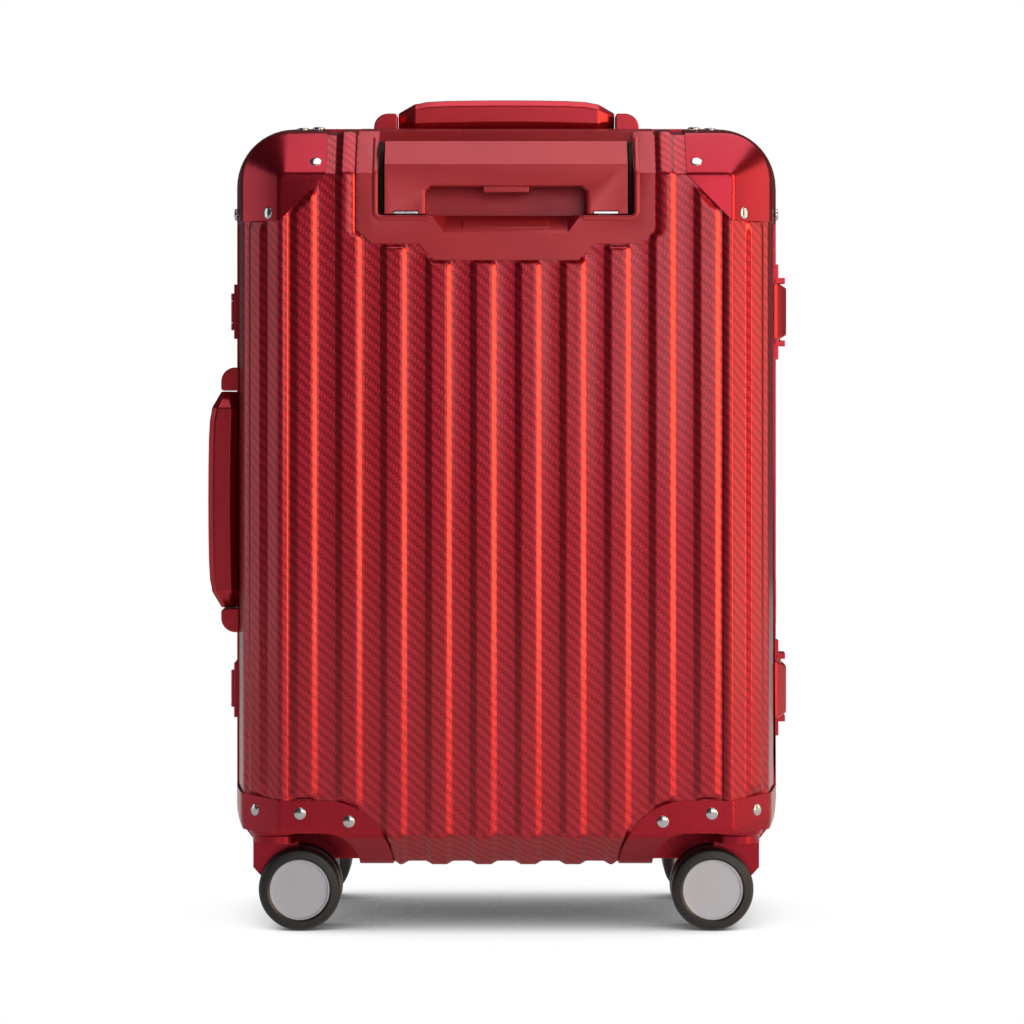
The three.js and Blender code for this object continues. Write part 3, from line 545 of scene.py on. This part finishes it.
def shellPiece(name, side):
    # joins the sheets, leaves out what lies in the wheel wells and the trolley's recess, and gives the
    # metal its thickness
    allPoints, allFaces, allUv, count = [], [], [], 0
    for points, uv in ribbedShell(side):
        rows, columns = points.shape[:2]
        allFaces.append(gridFaces(rows, columns) + count)
        allPoints.append(points.reshape(-1, 3))
        allUv.append(uv.reshape(-1, 2))
        count += rows * columns
    points, faces, uv = np.vstack(allPoints), np.vstack(allFaces), np.vstack(allUv)
    middle = points[faces].mean(1)
    x, depth, z = np.abs(middle[:, 0]), np.abs(middle[:, 1]), middle[:, 2]
    cx = form["half"] - wheelGuard["arcIn"]
    rise = (well["ceiling"] + 4 - wheelGuard["arcZ"]) / (well["radius"] + 4)
    arch = np.hypot(x - cx, np.maximum(z - wheelGuard["arcZ"], 0) / rise) < well["radius"] + 4
    gone = (depth > well["inner"] - 2) & (z < well["ceiling"] + 4) & (arch | (x > cx))
    if side < 0:
        drop = form["high"] - z
        gone |= (x < recess["half"]) & (drop < recess["drop"]) & (depth > recess["depth"])
        gone |= (x < recess["scoopHalf"]) & (drop < recess["scoopDrop"]) & (depth > recess["scoopDepth"])
    piece = meshObject(name, points, faces[~gone])
    layer = piece.data.uv_layers.new(name="sheet")
    corner = np.zeros(len(piece.data.loops), np.int32)
    piece.data.loops.foreach_get("vertex_index", corner)
    layer.data.foreach_set("uv", (uv[corner] * mm).astype(np.float32).ravel())
    work = bmesh.new()
    work.from_mesh(piece.data)
    bmesh.ops.remove_doubles(work, verts=work.verts, dist=2e-5)
    bmesh.ops.delete(work, geom=[v for v in work.verts if not v.link_faces], context="VERTS")
    bmesh.ops.recalc_face_normals(work, faces=work.faces)
    far = max(work.faces, key=lambda f: side * f.calc_center_median().y)
    if far.normal.y * side < 0:
        bmesh.ops.reverse_faces(work, faces=work.faces)
    work.to_mesh(piece.data)
    work.free()
    smoothUnder(piece, 40)
    sheet = piece.modifiers.new("sheet", "SOLIDIFY")
    sheet.thickness, sheet.offset = ribs["sheet"] * mm, -1
    return piece


for side, word in ((-1, "back"), (1, "front")):
    shell = shellPiece(word + "Shell", side)
    place(shell, "case_" + word, "red_aluminium", aluminium, word + "_shell")
print("shells made")

# Guards
skin = 1.6


def topGuardPiece(name, side, hand):
    # a corner of the form, moved out by the skin, kept inside three straight cuts
    outer = formSolid(name, side, skin, 3.2, 18.3)
    inner = formSolid("inner", side, 0.3, 3.2, 13)
    carve(outer, inner)
    half, high = form["half"], form["high"]
    gx, gz, far = half - topGuard["inner"], high - topGuard["foot"], half + 30
    outline = [(gx, high + 30), (gx, high - topGuard["flat"]), (faceHalf, gz), (far, gz), (far, high + 30)]
    carve(outer, prismY("cut", [(hand * x, z) for x, z in outline], side * 5, side * 140), "INTERSECT")
    return finishEdges(outer, 0.7, 38)


def archOutline(hand, radius, top, sideTop, steps=26):
    # the bottom guard's border: a quarter arch from the shell's foot up, then level to the side
    cx = form["half"] - wheelGuard["arcIn"]
    a = np.linspace(math.pi, math.pi / 2, steps)
    cz = wheelGuard["arcZ"]
    arch = [(cx + radius * math.cos(t), cz + (top - cz) * math.sin(t)) for t in a]
    far = form["half"] + 40
    outline = [(cx - radius, 0)] + arch + [(faceHalf, top), (far, sideTop), (far, 0)]
    return [(hand * x, z) for x, z in outline]


def wheelGuardPiece(name, side, hand):
    # the band over the wheel well, the well's liner and the boss that the caster turns under
    g = wheelGuard
    outer = formSolid(name, side, skin, 3.2, 18.3)
    carve(outer, formSolid("inner", side, 0.3, 3.2, 13))
    border = archOutline(hand, g["radius"], g["top"], g["sideTop"] + 4)
    carve(outer, prismY("cut", border, side * 5, side * 140), "INTERSECT")
    gap, thick = well["gap"], well["skin"]
    wellOut = archOutline(hand, well["radius"] - gap, well["ceiling"] - gap, well["ceiling"] - gap)
    wellIn = archOutline(hand, well["radius"] - thick, well["ceiling"] - thick, well["ceiling"] - thick)
    carve(outer, prismY("cut", wellIn, side * (well["inner"] + thick), side * 150))
    liner = formSolid("liner", side, skin, 3.2, well["inner"] + gap)
    carve(liner, prismY("cut", wellOut, side * (well["inner"] + gap), side * 150), "INTERSECT")
    carve(liner, prismY("cut", wellIn, side * (well["inner"] + thick), side * 150))
    carve(outer, liner, "UNION")
    axis = (hand * (form["half"] - 26), side * (form["depth"] - 37), 0)
    boss = lathe("boss", [(0, 61.5), (15.6, 61.5), (16.6, 62.3), (17.6, 67), (0, 67)], axis)
    carve(outer, boss, "UNION")
    return finishEdges(outer, 0.7, 38)


for side, word in ((-1, "back"), (1, "front")):
    for hand, sideWord in ((-1, "left"), (1, "right")):
        tail = word.capitalize() + sideWord.capitalize()
        guard = topGuardPiece("cornerGuard" + tail, side, hand)
        place(guard, "case_" + word, "red_plastic", guardPaint, f"{word}_corner_guard_{sideWord}")
        guard = wheelGuardPiece("wheelGuard" + tail, side, hand)
        place(guard, "case_" + word, "red_plastic", guardPaint, f"{word}_wheel_guard_{sideWord}")
print("guards made")


# Rivets
rivet = {"radius": 3.9, "height": 1.1, "sink": 0.6, "edge": 0.25}
# where they stand on a corner: on its facets, measured from the crease, on its walls and on its flat
spot = {"x": 124, "fromCrease": 7, "sideZ": 469.5, "top": ((124, 66, 0.7), (135, 54, 0.6)),
        "wall": (62, 470, 0.5), "lowFromCrease": 16, "lowZ": 79.8, "flat": ((133.8, 79), (102, 73.8))}


def rivetAt(point, normal, name, body):
    # a domed head: radius falls as the cosine while height rises as the sine, turned to the guard's normal
    a = np.linspace(0, math.pi / 2, 8)
    r, h = rivet["radius"], rivet["height"]
    edge = rivet["edge"]
    profile = [(r, -rivet["sink"])] + [(r * math.cos(t), edge + (h - edge) * math.sin(t)) for t in a]
    piece = lathe(name, profile[:-1] + [(0.01, h)], (0, 0, 0), "z", 28)
    turn = Vector(normal).to_track_quat("Z", "Y").to_matrix().to_4x4()
    turn.translation = Vector(point) * mm
    piece.data.transform(turn)
    piece.data.shade_smooth()
    return place(piece, body, "bright_metal", chrome)


lean = math.sqrt(0.5)
lift = skin * lean
for side, word in ((-1, "back"), (1, "front")):
    depth, high, half = form["depth"], form["high"], form["half"]
    for hand, sideWord in ((-1, "left"), (1, "right")):
        near, low = spot["fromCrease"], spot["lowFromCrease"]
        spots = [((spot["x"], depth - near + lift, high - topGuard["flat"] + near + lift), (0, lean, lean)),
                 ((faceHalf + near + lift, depth - near + lift, spot["sideZ"]), (lean, lean, 0))]
        spots += [((x, y, high + skin - sunk), (0, 0, 1)) for x, y, sunk in spot["top"]]
        wallY, wallZ, sunk = spot["wall"]
        spots += [((half + skin - sunk, wallY, wallZ), (1, 0, 0)),
                  ((faceHalf + low + lift, depth - low + lift, spot["lowZ"]), (lean, lean, 0))]
        spots += [((x, depth + skin, z), (0, 1, 0)) for x, z in spot["flat"]]
        for number, (at, out) in enumerate(spots):
            rivetAt((hand * at[0], side * at[1], at[2]), (hand * out[0], side * out[1], out[2]),
                    f"rivet{word.capitalize()}{sideWord.capitalize()}{number}", "case_" + word)
print("rivets made")


def mergeFlats(piece):
    work = bmesh.new()
    work.from_mesh(piece.data)
    bmesh.ops.remove_doubles(work, verts=work.verts, dist=2e-6)
    bmesh.ops.dissolve_limit(work, angle_limit=math.radians(1), verts=work.verts, edges=work.edges)
    work.to_mesh(piece.data)
    work.free()


def refined(name, node, width, angle=30, segments=2):
    # the frame's own shape with its loose triangles merged, its flats made whole and its edges rounded
    source = frame["nodes"][node]
    piece = bpy.data.objects.new(name, source.data.copy())
    scene.collection.objects.link(piece)
    mergeFlats(piece)
    return finishEdges(piece, width, angle, segments)


# Pieces whose shape the frame already has: rounded edges and their finish
slotOf = {row["node"]: row["material_slot"] for row in frame["record"]["subparts"]}
bodyOf = {node: body for body, nodes in frame["record"]["behaviour"]["bodies"].items() for node in nodes}
finish = {
    "back_frame": (0.8, frameMetal), "front_frame": (0.8, frameMetal),
    "release_button": (0.8, panelPlastic),
    "trolley_bracket": (0.4, panelPlastic),
    "lock_plate": (0.4, handlePaint), "lock_cylinder": (0.2, chrome),
}
for height in ("lower", "upper"):
    finish["latch_base_" + height] = (0.5, handlePaint)
    finish["latch_pin_" + height] = (0.2, chrome)
    for half in ("back", "front"):
        finish[f"hinge_leaf_{half}_{height}"] = (0.4, handlePaint)
for node, (width, material) in finish.items():
    words = node.split("_")
    piece = refined(words[0] + "".join(w.capitalize() for w in words[1:]), node, width)
    place(piece, bodyOf[node], slotOf[node], material, node)
print("fittings made")

# Handles: a bar with cut-off ends and a crowned top between two round-shouldered ears
handle = {"length": 144.4, "depth": 24, "stand": 0.3, "chamfer": 11, "earRadius": 9.5, "earHalf": 10.5,
          "earLower": 1.4, "earFrom": 0.6, "earTo": 16.2}


def handleBar(name, middle, seat, turned):
    # stations along x; each section is an eight-cornered ring of (depth, height) whose width narrows to the
    # ends and whose top falls as crown(x) = rise - 0.9 (x / reach)^2, then along the cut shoulders
    half, reach = handle["length"] / 2, handle["length"] / 2 - handle["chamfer"]
    x = np.array([-half, -half + 0.8, -reach - 4, -reach, -reach + 3, -reach + 8, -40, -20, 0])
    x = np.concatenate([x, -x[:-1][::-1]])
    ax = np.abs(x)
    over = np.clip((ax - reach) / handle["chamfer"], 0, 1)
    width = handle["depth"] / 2 - 7.5 * over
    top = handle["rise"] - 0.9 * (ax / reach) ** 2 - 1.6 * softStep(ax, reach - 12, reach) - 6 * over
    low = handle["stand"] + 1.6 * (1 - (ax / half) ** 2) + 1.6 * softStep(ax, reach + 1, reach + 3)
    ring = [(-0.66, 0), (-1, 4.2), (-1, -4.4), (-0.72, -0.7), (0.72, -0.7), (1, -4.4), (1, 4.2), (0.66, 0)]
    rows = []
    for share, lift in ring:
        z = low + lift if lift >= 0 else top + lift * (1 - 0.35 * over)
        rows.append(np.stack([x, share * width, z], -1))
    crownLine = np.stack([x, 0 * x, top], -1)
    rows.insert(4, crownLine)
    points = np.stack(rows, 1)
    faces = tubeFaces(len(x), len(rows))
    flat = points.reshape(-1, 3)
    if turned:
        flat = np.stack([-seat - flat[:, 2], flat[:, 1] + middle[0], flat[:, 0] + middle[1]], -1)
    else:
        flat = np.stack([flat[:, 0] + middle[1], flat[:, 1] + middle[0], flat[:, 2] + seat], -1)
    piece = meshObject(name, flat, faces)
    faceOut(piece)
    return finishEdges(piece, 1.1, 18, 3)


def handleEar(name, middle, seat, hand, turned):
    # a block with one large round shoulder, away from the bar
    r, tall, wide = handle["earRadius"], handle["ear"], handle["earHalf"]
    near, far = (handle["length"] / 2 + handle[key] for key in ("earFrom", "earTo"))
    a = np.linspace(math.pi / 2, 0, 12)
    outline = [(near, 0), (near, tall - 1.2), (near + 1.2, tall)]
    outline += [(far - r + r * math.cos(t), tall - r + r * math.sin(t)) for t in a] + [(far, 0)]
    outline = np.array([(hand * u, v) for u, v in outline])
    if turned:
        outline = np.stack([-seat - outline[:, 1], outline[:, 0] + middle[1]], -1)
    else:
        outline = outline + [middle[1], seat]
    piece = prismY(name, outline, middle[0] - wide, middle[0] + wide)
    return finishEdges(piece, 0.9, 32, 3)


earLow, earHigh = boxOf("top_handle_ear_a")
barLow, barHigh = boxOf("top_handle_bar")
sideLow, sideHigh = boxOf("side_handle_bar")
sideEarHigh = boxOf("side_handle_ear_a")[1]
handle["rise"], handle["ear"] = barHigh[2] - earLow[2], earHigh[2] - earLow[2] - handle["earLower"]
depthMiddle = (barLow[1] + barHigh[1]) / 2
upright = (sideLow[2] + sideHigh[2]) / 2
seats = {"top": ((depthMiddle, 0), earLow[2], False), "side": ((depthMiddle, upright), -sideEarHigh[0], True)}
for word, seat in seats.items():
    bar = handleBar(word + "HandleBar", *seat)
    place(bar, word + "_handle", "red_paint", handlePaint, word + "_handle_bar")
for end in ("a", "b"):
    for word, (middle, seat, turned) in seats.items():
        node = f"{word}_handle_ear_{end}"
        along = sum(corner[2 if turned else 0] for corner in boxOf(node)) / 2
        hand = 1 if along > middle[1] else -1
        ear = handleEar(word + "HandleEar" + end.upper(), middle, seat, hand, turned)
        place(ear, "case_back", "red_paint", handlePaint, node)
print("handles made")

# Latch levers: a block whose two ends slope away to the case, with a rounded outer edge
lever = {"foot": 2.6, "shoulder": 1.2, "start": (0.4, 9, 12), "end": (10, 6), "slope": 3.2, "past": 1.2}
for height in ("lower", "upper"):
    (x0, y0, z0), (x1, y1, z1) = boxOf("latch_lever_" + height)
    foot, shoulder = x0 + lever["foot"], x1 - lever["shoulder"]
    (a, b, c), (d, e) = lever["start"], lever["end"]
    outline = [(x0, y0), (foot, y0 + a), (shoulder, y0 + b), (x1, y0 + c), (x1, y1 - d), (shoulder, y1 - e),
               (foot, y1), (x0, y1)]
    piece = prismZ("latchLever" + height.capitalize(), outline, z0, z1)
    for z, way in ((z0, 1), (z1, -1)):
        tip = (x1 + 3, z + way * (lever["slope"] + lever["past"]))
        carve(piece, prismY("wedge", [(x0 + 1.5, z - way), (x1 + 3, z - way), tip], y0 - 5, y1 + 5))
    finishEdges(piece, 1.2, 24, 3)
    place(piece, "latch_" + height, "red_paint", handlePaint, "latch_lever_" + height)
print("latches made")


# Trolley panel and grip: the frame's shapes, with a wide round along the pocket, the gap and the creases
def softEdges(piece, radius, chosen):
    # rounds the sharp edges for which chosen(a, b) holds; a and b are their ends in millimetres
    work = bmesh.new()
    work.from_mesh(piece.data)
    edges = [e for e in work.edges if len(e.link_faces) == 2 and e.calc_face_angle(0) > 0.5
             and chosen(*(np.array(v.co) / mm for v in e.verts))]
    bmesh.ops.bevel(work, geom=edges, offset=radius * mm, segments=5, profile=0.5, affect="EDGES",
                    clamp_overlap=True)
    work.to_mesh(piece.data)
    work.free()


pocket = {"half": 83, "foot": 468, "round": 2.6, "scoopHalf": 49, "scoopFoot": 456.2, "scoopDepth": 13.6,
          "scoopTop": 468.6, "narrower": 9}
fill = {"half": 46.5, "low": 454.5, "high": 467.9, "depth": 16.5}


def onPocket(a, b):
    front = a[1] < panelLow[1] + 2.9 and b[1] < panelLow[1] + 2.9
    sides = abs(abs(a[0]) - pocket["half"]) < 0.3 and abs(abs(b[0]) - pocket["half"]) < 0.3 and a[2] > 460
    sill = abs(a[2] - pocket["foot"]) < 0.3 and abs(b[2] - pocket["foot"]) < 0.3
    return front and (sides or sill)


def scoopRamp(piece):
    # the finger scoop is a ramp: a wedge fills the frame's straight recess, and a tapered cut opens it
    faceY = panelLow[1]
    low, high, back = fill["low"], fill["high"], faceY + fill["depth"]
    outline = [(faceY, low), (back, low), (back, high), (faceY, high)]
    carve(piece, prismX("fill", outline, -fill["half"], fill["half"]), "UNION")
    h, d, top = pocket["scoopHalf"], pocket["scoopDepth"], pocket["scoopTop"]
    n, foot, out = h - pocket["narrower"], pocket["scoopFoot"] - 0.6, faceY - 1
    corners = [(-h - 1, out, top), (h + 1, out, top), (n, out, foot), (-n, out, foot),
               (-n, faceY + d, top), (n, faceY + d, top)]
    faces = [(0, 1, 2, 3), (0, 4, 5, 1), (3, 2, 5, 4), (0, 3, 4), (1, 5, 2)]
    cut = meshObject("cut", corners, faces, False)
    faceOut(cut)
    carve(piece, cut)


panelPiece = refined("trolleyPanel", "trolley_panel", 0)
scoopRamp(panelPiece)
mergeFlats(panelPiece)
softEdges(panelPiece, pocket["round"], onPocket)
finishEdges(panelPiece, 0.6, 32, 2)
place(panelPiece, "case_back", "red_plastic", panelPlastic, "trolley_panel")


def sweptLip(name, path, normals, width, height):
    # a half-oval bead carried along the path: offset = width / 2 cos(t), height sin(t) above the surface
    path, normals = np.array(path), np.array(normals)
    way = np.gradient(path, axis=0)
    way /= np.linalg.norm(way, axis=1, keepdims=True)
    across = np.cross(way, normals)
    across /= np.linalg.norm(across, axis=1, keepdims=True)
    a = np.linspace(0, math.pi, 10)
    u = np.concatenate([[width / 2], width / 2 * np.cos(a), [-width / 2]])
    v = np.concatenate([[-0.4], height * np.sin(a), [-0.4]])
    points = path[:, None] + across[:, None] * u[None, :, None] + normals[:, None] * v[None, :, None]
    piece = meshObject(name, points.reshape(-1, 3), tubeFaces(len(path), len(u)))
    faceOut(piece)
    smoothUnder(piece, 50)
    return piece


# a soft bead round the pocket: along its sill, round the corner, up the face and over the crease
lip = {"out": 85.1, "sill": 466.1, "start": 50.5, "turn": 4.5, "width": 3.6, "height": 0.85, "end": 519,
       "creaseDrop": 30.55, "facet": (26.05, 28.35)}
faceY, creaseZ = panelLow[1], form["high"] - lip["creaseDrop"]
facetWay = np.array(lip["facet"])
facetWay /= np.hypot(*facetWay)
for hand, word in ((-1, "Left"), (1, "Right")):
    corner = [(lip["out"] - lip["turn"] * (1 - math.sin(t)), lip["sill"] + lip["turn"] * (1 - math.cos(t)))
              for t in np.linspace(0, math.pi / 2, 8)]
    flat = [(x, lip["sill"]) for x in np.linspace(lip["start"], lip["out"] - lip["turn"] - 1, 6)] + corner
    flat += [(lip["out"], z) for z in np.linspace(lip["sill"] + lip["turn"] + 2, creaseZ - 2, 6)]
    path = [(hand * x, faceY, z) for x, z in flat]
    normals = [(0, -1, 0)] * len(path)
    tilt = math.atan2(facetWay[0], facetWay[1])
    for k in range(1, 6):
        t = k / 6
        bendY, bendZ = 2.0 * t * t * facetWay[0], 4 * t * (1 - 0.12 * t) - 2
        path.append((hand * lip["out"], faceY + bendY, creaseZ + bendZ))
        normals.append((0, -math.cos(t * tilt), math.sin(t * tilt)))
    run = (lip["end"] - creaseZ) / facetWay[1]
    for d in np.linspace(2.4, run, 5):
        path.append((hand * lip["out"], faceY + d * facetWay[0], creaseZ + d * facetWay[1]))
        normals.append((0, -facetWay[1], facetWay[0]))
    bead = sweptLip("pocketLip" + word, path, normals, lip["width"], lip["height"])
    place(bead, "case_back", "red_plastic", panelPlastic)

# a shallow raised pad on the ramp
thumbPad = {"half": 28.6, "tall": 4, "thick": 1.6, "behind": 5.4, "z": 462.5, "rampHeight": 12.4}
ramp = math.atan2(thumbPad["rampHeight"], pocket["scoopDepth"])
pad = block("thumbPad", -thumbPad["half"], thumbPad["half"], 0, thumbPad["thick"], -thumbPad["tall"],
            thumbPad["tall"])
finishEdges(pad, 0)
rim = pad.modifiers.new("edges", "BEVEL")
rim.width, rim.segments = 0.8 * mm, 3
pad.data.transform(Matrix.Rotation(-(math.pi / 2 - ramp), 4, "X"))
pad.data.transform(Matrix.Translation(Vector((0, faceY + thumbPad["behind"], thumbPad["z"])) * mm))
place(pad, "case_back", "red_plastic", panelPlastic)

# The grip: its finger gap, a notch and a bright ferrule for each tube, and near-black strips beside it that
# paint the shade of its slots
fingerGap = {"half": 53, "top": 487.5, "round": 2.4}
notch = {"half": 8.3, "depth": 21}
ferrule = {"half": 8, "depth": 20, "height": 1.7}
strip = {"inner": 79.7, "outer": 82.8, "back": -90, "top": 516, "behind": 9}
tubeX = 65


def onGrip(a, b):
    front = max(a[1], b[1]) < gripLow[1] + 1
    return front and max(abs(a[0]), abs(b[0])) < fingerGap["half"] and max(a[2], b[2]) < fingerGap["top"]


gripPiece = refined("trolleyGrip", "trolley_grip", 0)
frontY, footZ = gripLow[1], gripLow[2]
for hand in (-1, 1):
    x = hand * tubeX
    carve(gripPiece, block("notch", x - notch["half"], x + notch["half"], frontY - 3, frontY + notch["depth"],
                           footZ - 2, footZ + 2))
softEdges(gripPiece, fingerGap["round"], onGrip)
finishEdges(gripPiece, 0.9, 20, 3)
place(gripPiece, "trolley_handle", "red_plastic", panelPlastic, "trolley_grip")

for hand, word in ((-1, "Left"), (1, "Right")):
    x = hand * tubeX
    piece = block("tubeFerrule" + word, x - ferrule["half"], x + ferrule["half"], frontY + 0.6,
                  frontY + ferrule["depth"], footZ + 0.1, footZ + ferrule["height"])
    place(finishEdges(piece, 0.3), "trolley_handle", "bright_metal", tubeMetal)
    # painted shade: a near-black strip fills each slot beside the grip in place of its shade
    x0, x1 = sorted((hand * strip["inner"], hand * strip["outer"]))
    piece = block("pocketStrip" + word, x0, x1, frontY + strip["behind"], strip["back"], pocket["foot"] + 0.4,
                  strip["top"])
    place(finishEdges(piece, 0.3), "case_back", "tyre", gapShadeBlack)
print("trolley made")

# Casters
caster = {"radius": 27, "cap": 20.2, "width": 16.3, "gap": 4.2}


def tyrePiece(name, centre, turn):
    # profile of (radius, distance from the fork) turned about the axle, with fine rings on its shoulders
    w, r, c = caster["width"], caster["radius"], caster["cap"]
    rings = [(r - 1.1 - 3.2 * t - (0.22 if k % 2 else 0), w - 1.8 + 1.6 * math.sqrt(t))
             for k, t in enumerate(np.linspace(0, 1, 13))]
    profile = [(c - 1.5, 0.6), (c + 1, 0.1), (r - 2.6, 0.1), (r - 0.9, 0.9), (r - 0.2, 2.4), (r, 4.5),
               (r, w - 5), (r - 0.3, w - 3)] + rings + [(c + 0.9, w), (c + 0.2, w - 0.6), (c - 1.5, w - 1.6)]
    profile.append(profile[0])
    piece = lathe(name, [(a, turn * b) for a, b in profile], centre, "y", 96)
    smoothUnder(piece, 35)
    return piece


def capPiece(name, centre):
    # the wheel's hub between its tyres, with a dished silver cap inside a raised rim at each end
    w, c, g = caster["width"], caster["cap"], caster["gap"]
    end = g + w - 0.7
    half = [(c - 0.2, end - 1.6), (c - 0.5, end - 0.3), (c - 0.9, end), (c - 1.5, end - 0.05),
            (c - 1.9, end - 0.7), (c - 4, end - 0.85), (8, end - 0.6), (0.01, end - 0.55)]
    waist = [(c - 0.2, -g - 2), (5, -g - 2), (5, g + 2), (c - 0.2, g + 2)]
    profile = [(r, -y) for r, y in half[::-1]] + waist + half
    piece = lathe(name, profile, centre, "y", 96)
    smoothUnder(piece, 40)
    return piece


for half in ("back", "front"):
    for hand in ("left", "right"):
        corner, tail = half + "_" + hand, half.capitalize() + hand.capitalize()
        low, high = boxOf("wheel_hub_" + corner)
        centre = (low + high) / 2
        piece = refined("casterFork" + tail, "caster_fork_" + corner, 0.7)
        place(piece, "swivel_" + corner, "red_plastic", guardPaint, "caster_fork_" + corner)
        piece = capPiece("wheelHub" + tail, centre)
        place(piece, "wheels_" + corner, "satin_silver", capPaint, "wheel_hub_" + corner)
        for which in ("outer", "inner"):
            low, high = boxOf(f"tyre_{which}_{corner}")
            turn = 1 if low[1] + high[1] > 2 * centre[1] else -1
            start = (low[1] if turn > 0 else high[1])
            piece = tyrePiece("tyre" + which.capitalize() + tail, (centre[0], start, centre[2]), turn)
            place(piece, "wheels_" + corner, "tyre", tyreRubber, f"tyre_{which}_{corner}")
print("casters made")


# Finishes of the frame's own pieces
nodeFinish = {"red_aluminium": aluminium, "red_frame": frameMetal, "red_plastic": panelPlastic,
              "red_paint": handlePaint, "bright_metal": tubeMetal, "satin_silver": capPaint,
              "tyre": tyreRubber, "lining": lining}
for name, node in frame["nodes"].items():
    node.data.materials.clear()
    node.data.materials.append(nodeFinish[slotOf[name]])

# Camera, floor and light
view = {"distance": 2600, "scale": 0.65, "across": 521, "up": 365, "caseAcross": 506, "floorRow": 935}


def studioCamera():
    # level camera; the shift frames the case without tilting it
    data = bpy.data.cameras.new("camera")
    camera = bpy.data.objects.new("camera", data)
    scene.collection.objects.link(camera)
    size = 1024
    data.sensor_width = 36
    data.lens = data.sensor_width * view["distance"] / (size * view["scale"])
    data.shift_x = (size / 2 - view["across"]) / size
    data.shift_y = (view["up"] - size / 2) / size
    x = (view["across"] - view["caseAcross"]) * view["scale"]
    z = (view["floorRow"] - view["up"]) * view["scale"]
    camera.location = Vector((x, -form["depth"] - view["distance"], z)) * mm
    camera.rotation_euler = (math.pi / 2, 0, 0)
    data.clip_start, data.clip_end = 0.05, 50
    scene.camera = camera


def softBox(name, at, size, power, aim=(0, 0, 0.28), colour="#FFFFFF"):
    data = bpy.data.lights.new(name, "AREA")
    data.shape, data.size, data.size_y = "RECTANGLE", size[0], size[1]
    data.energy, data.color = power, srgb(colour)[:3]
    lamp = bpy.data.objects.new(name, data)
    scene.collection.objects.link(lamp)
    lamp.location = at
    lamp.rotation_euler = (Vector(aim) - Vector(at)).to_track_quat("-Z", "Y").to_euler()


def paleFloor():
    # a large pale disc under the pale world
    steps = 96
    a = np.linspace(0, 2 * math.pi, steps, endpoint=False)
    points = np.column_stack([4000 * np.cos(a), 4000 * np.sin(a), 0 * a])
    floor = meshObject("floor", points, [list(range(steps))], False)
    # plain paper with a painted shadow: the camera sees a glow, white, and grey only where the case stands
    # close over it, from an occlusion test rather than the lamps; other rays see the paper lit, with a faint
    # glow
    material, tree, shader = newMaterial("palePaper")
    shader.inputs["Roughness"].default_value = 0.8
    shader.inputs["Base Color"].default_value = srgb("#D8D8D8")
    shader.inputs["Specular IOR Level"].default_value = 0.1
    shader.inputs["Emission Color"].default_value = srgb("#FFFFFF")
    shader.inputs["Emission Strength"].default_value = 0.3
    # painted shadow: the occlusion test sets how bright the paper's glow is under the case
    near = addNode(tree, "ShaderNodeAmbientOcclusion", {"Distance": 0.16, "samples": 12})
    depth = addNode(tree, "ShaderNodeMapRange", {1: 0.02, 2: 0.62, 3: 0.05, 4: 1}, {0: near.outputs["AO"]})
    depth.interpolation_type = "SMOOTHSTEP"
    paintedShadowGlow = addNode(tree, "ShaderNodeEmission", {"Strength": 1}, {0: depth.outputs[0]})
    ray = addNode(tree, "ShaderNodeLightPath")
    mix = addNode(tree, "ShaderNodeMixShader", {},
                  {0: ray.outputs["Is Camera Ray"], 1: shader.outputs[0], 2: paintedShadowGlow.outputs[0]})
    tree.links.new(mix.outputs[0], tree.nodes["Material Output"].inputs["Surface"])
    floor.data.materials.append(material)


def studioWorld():
    world = bpy.data.worlds.new("studio")
    scene.world = world
    world.use_nodes = True
    tree = world.node_tree
    tree.nodes.clear()
    ray = addNode(tree, "ShaderNodeLightPath")
    seen = addNode(tree, "ShaderNodeBackground", {0: (1, 1, 1, 1), 1: 1.0})
    felt = addNode(tree, "ShaderNodeBackground", {0: (1, 1, 1, 1), 1: 0.06})
    mix = addNode(tree, "ShaderNodeMixShader", {},
                  {0: ray.outputs["Is Camera Ray"], 1: felt.outputs[0], 2: seen.outputs[0]})
    addNode(tree, "ShaderNodeOutputWorld", {}, {0: mix.outputs[0]})


studioCamera()
paleFloor()
studioWorld()
softBox("keyRight", (2.0, -1.2, 0.6), (0.9, 2.2), 58, (0, 0, 0.28), "#FFCB90")
softBox("sideRight", (2.3, 0.25, 0.6), (1.0, 1.8), 14, (0, 0, 0.28), "#FFE0C8")
softBox("frontFill", (1.0, -3.4, 0.9), (1.9, 1.4), 29)
softBox("overhead", (0.55, -0.1, 2.4), (2.4, 2.0), 36, (0.1, 0, 0))
softBox("sideLeft", (-2.4, 0.3, 0.5), (0.7, 1.8), 6.5)
scene.view_settings.view_transform = "Standard"
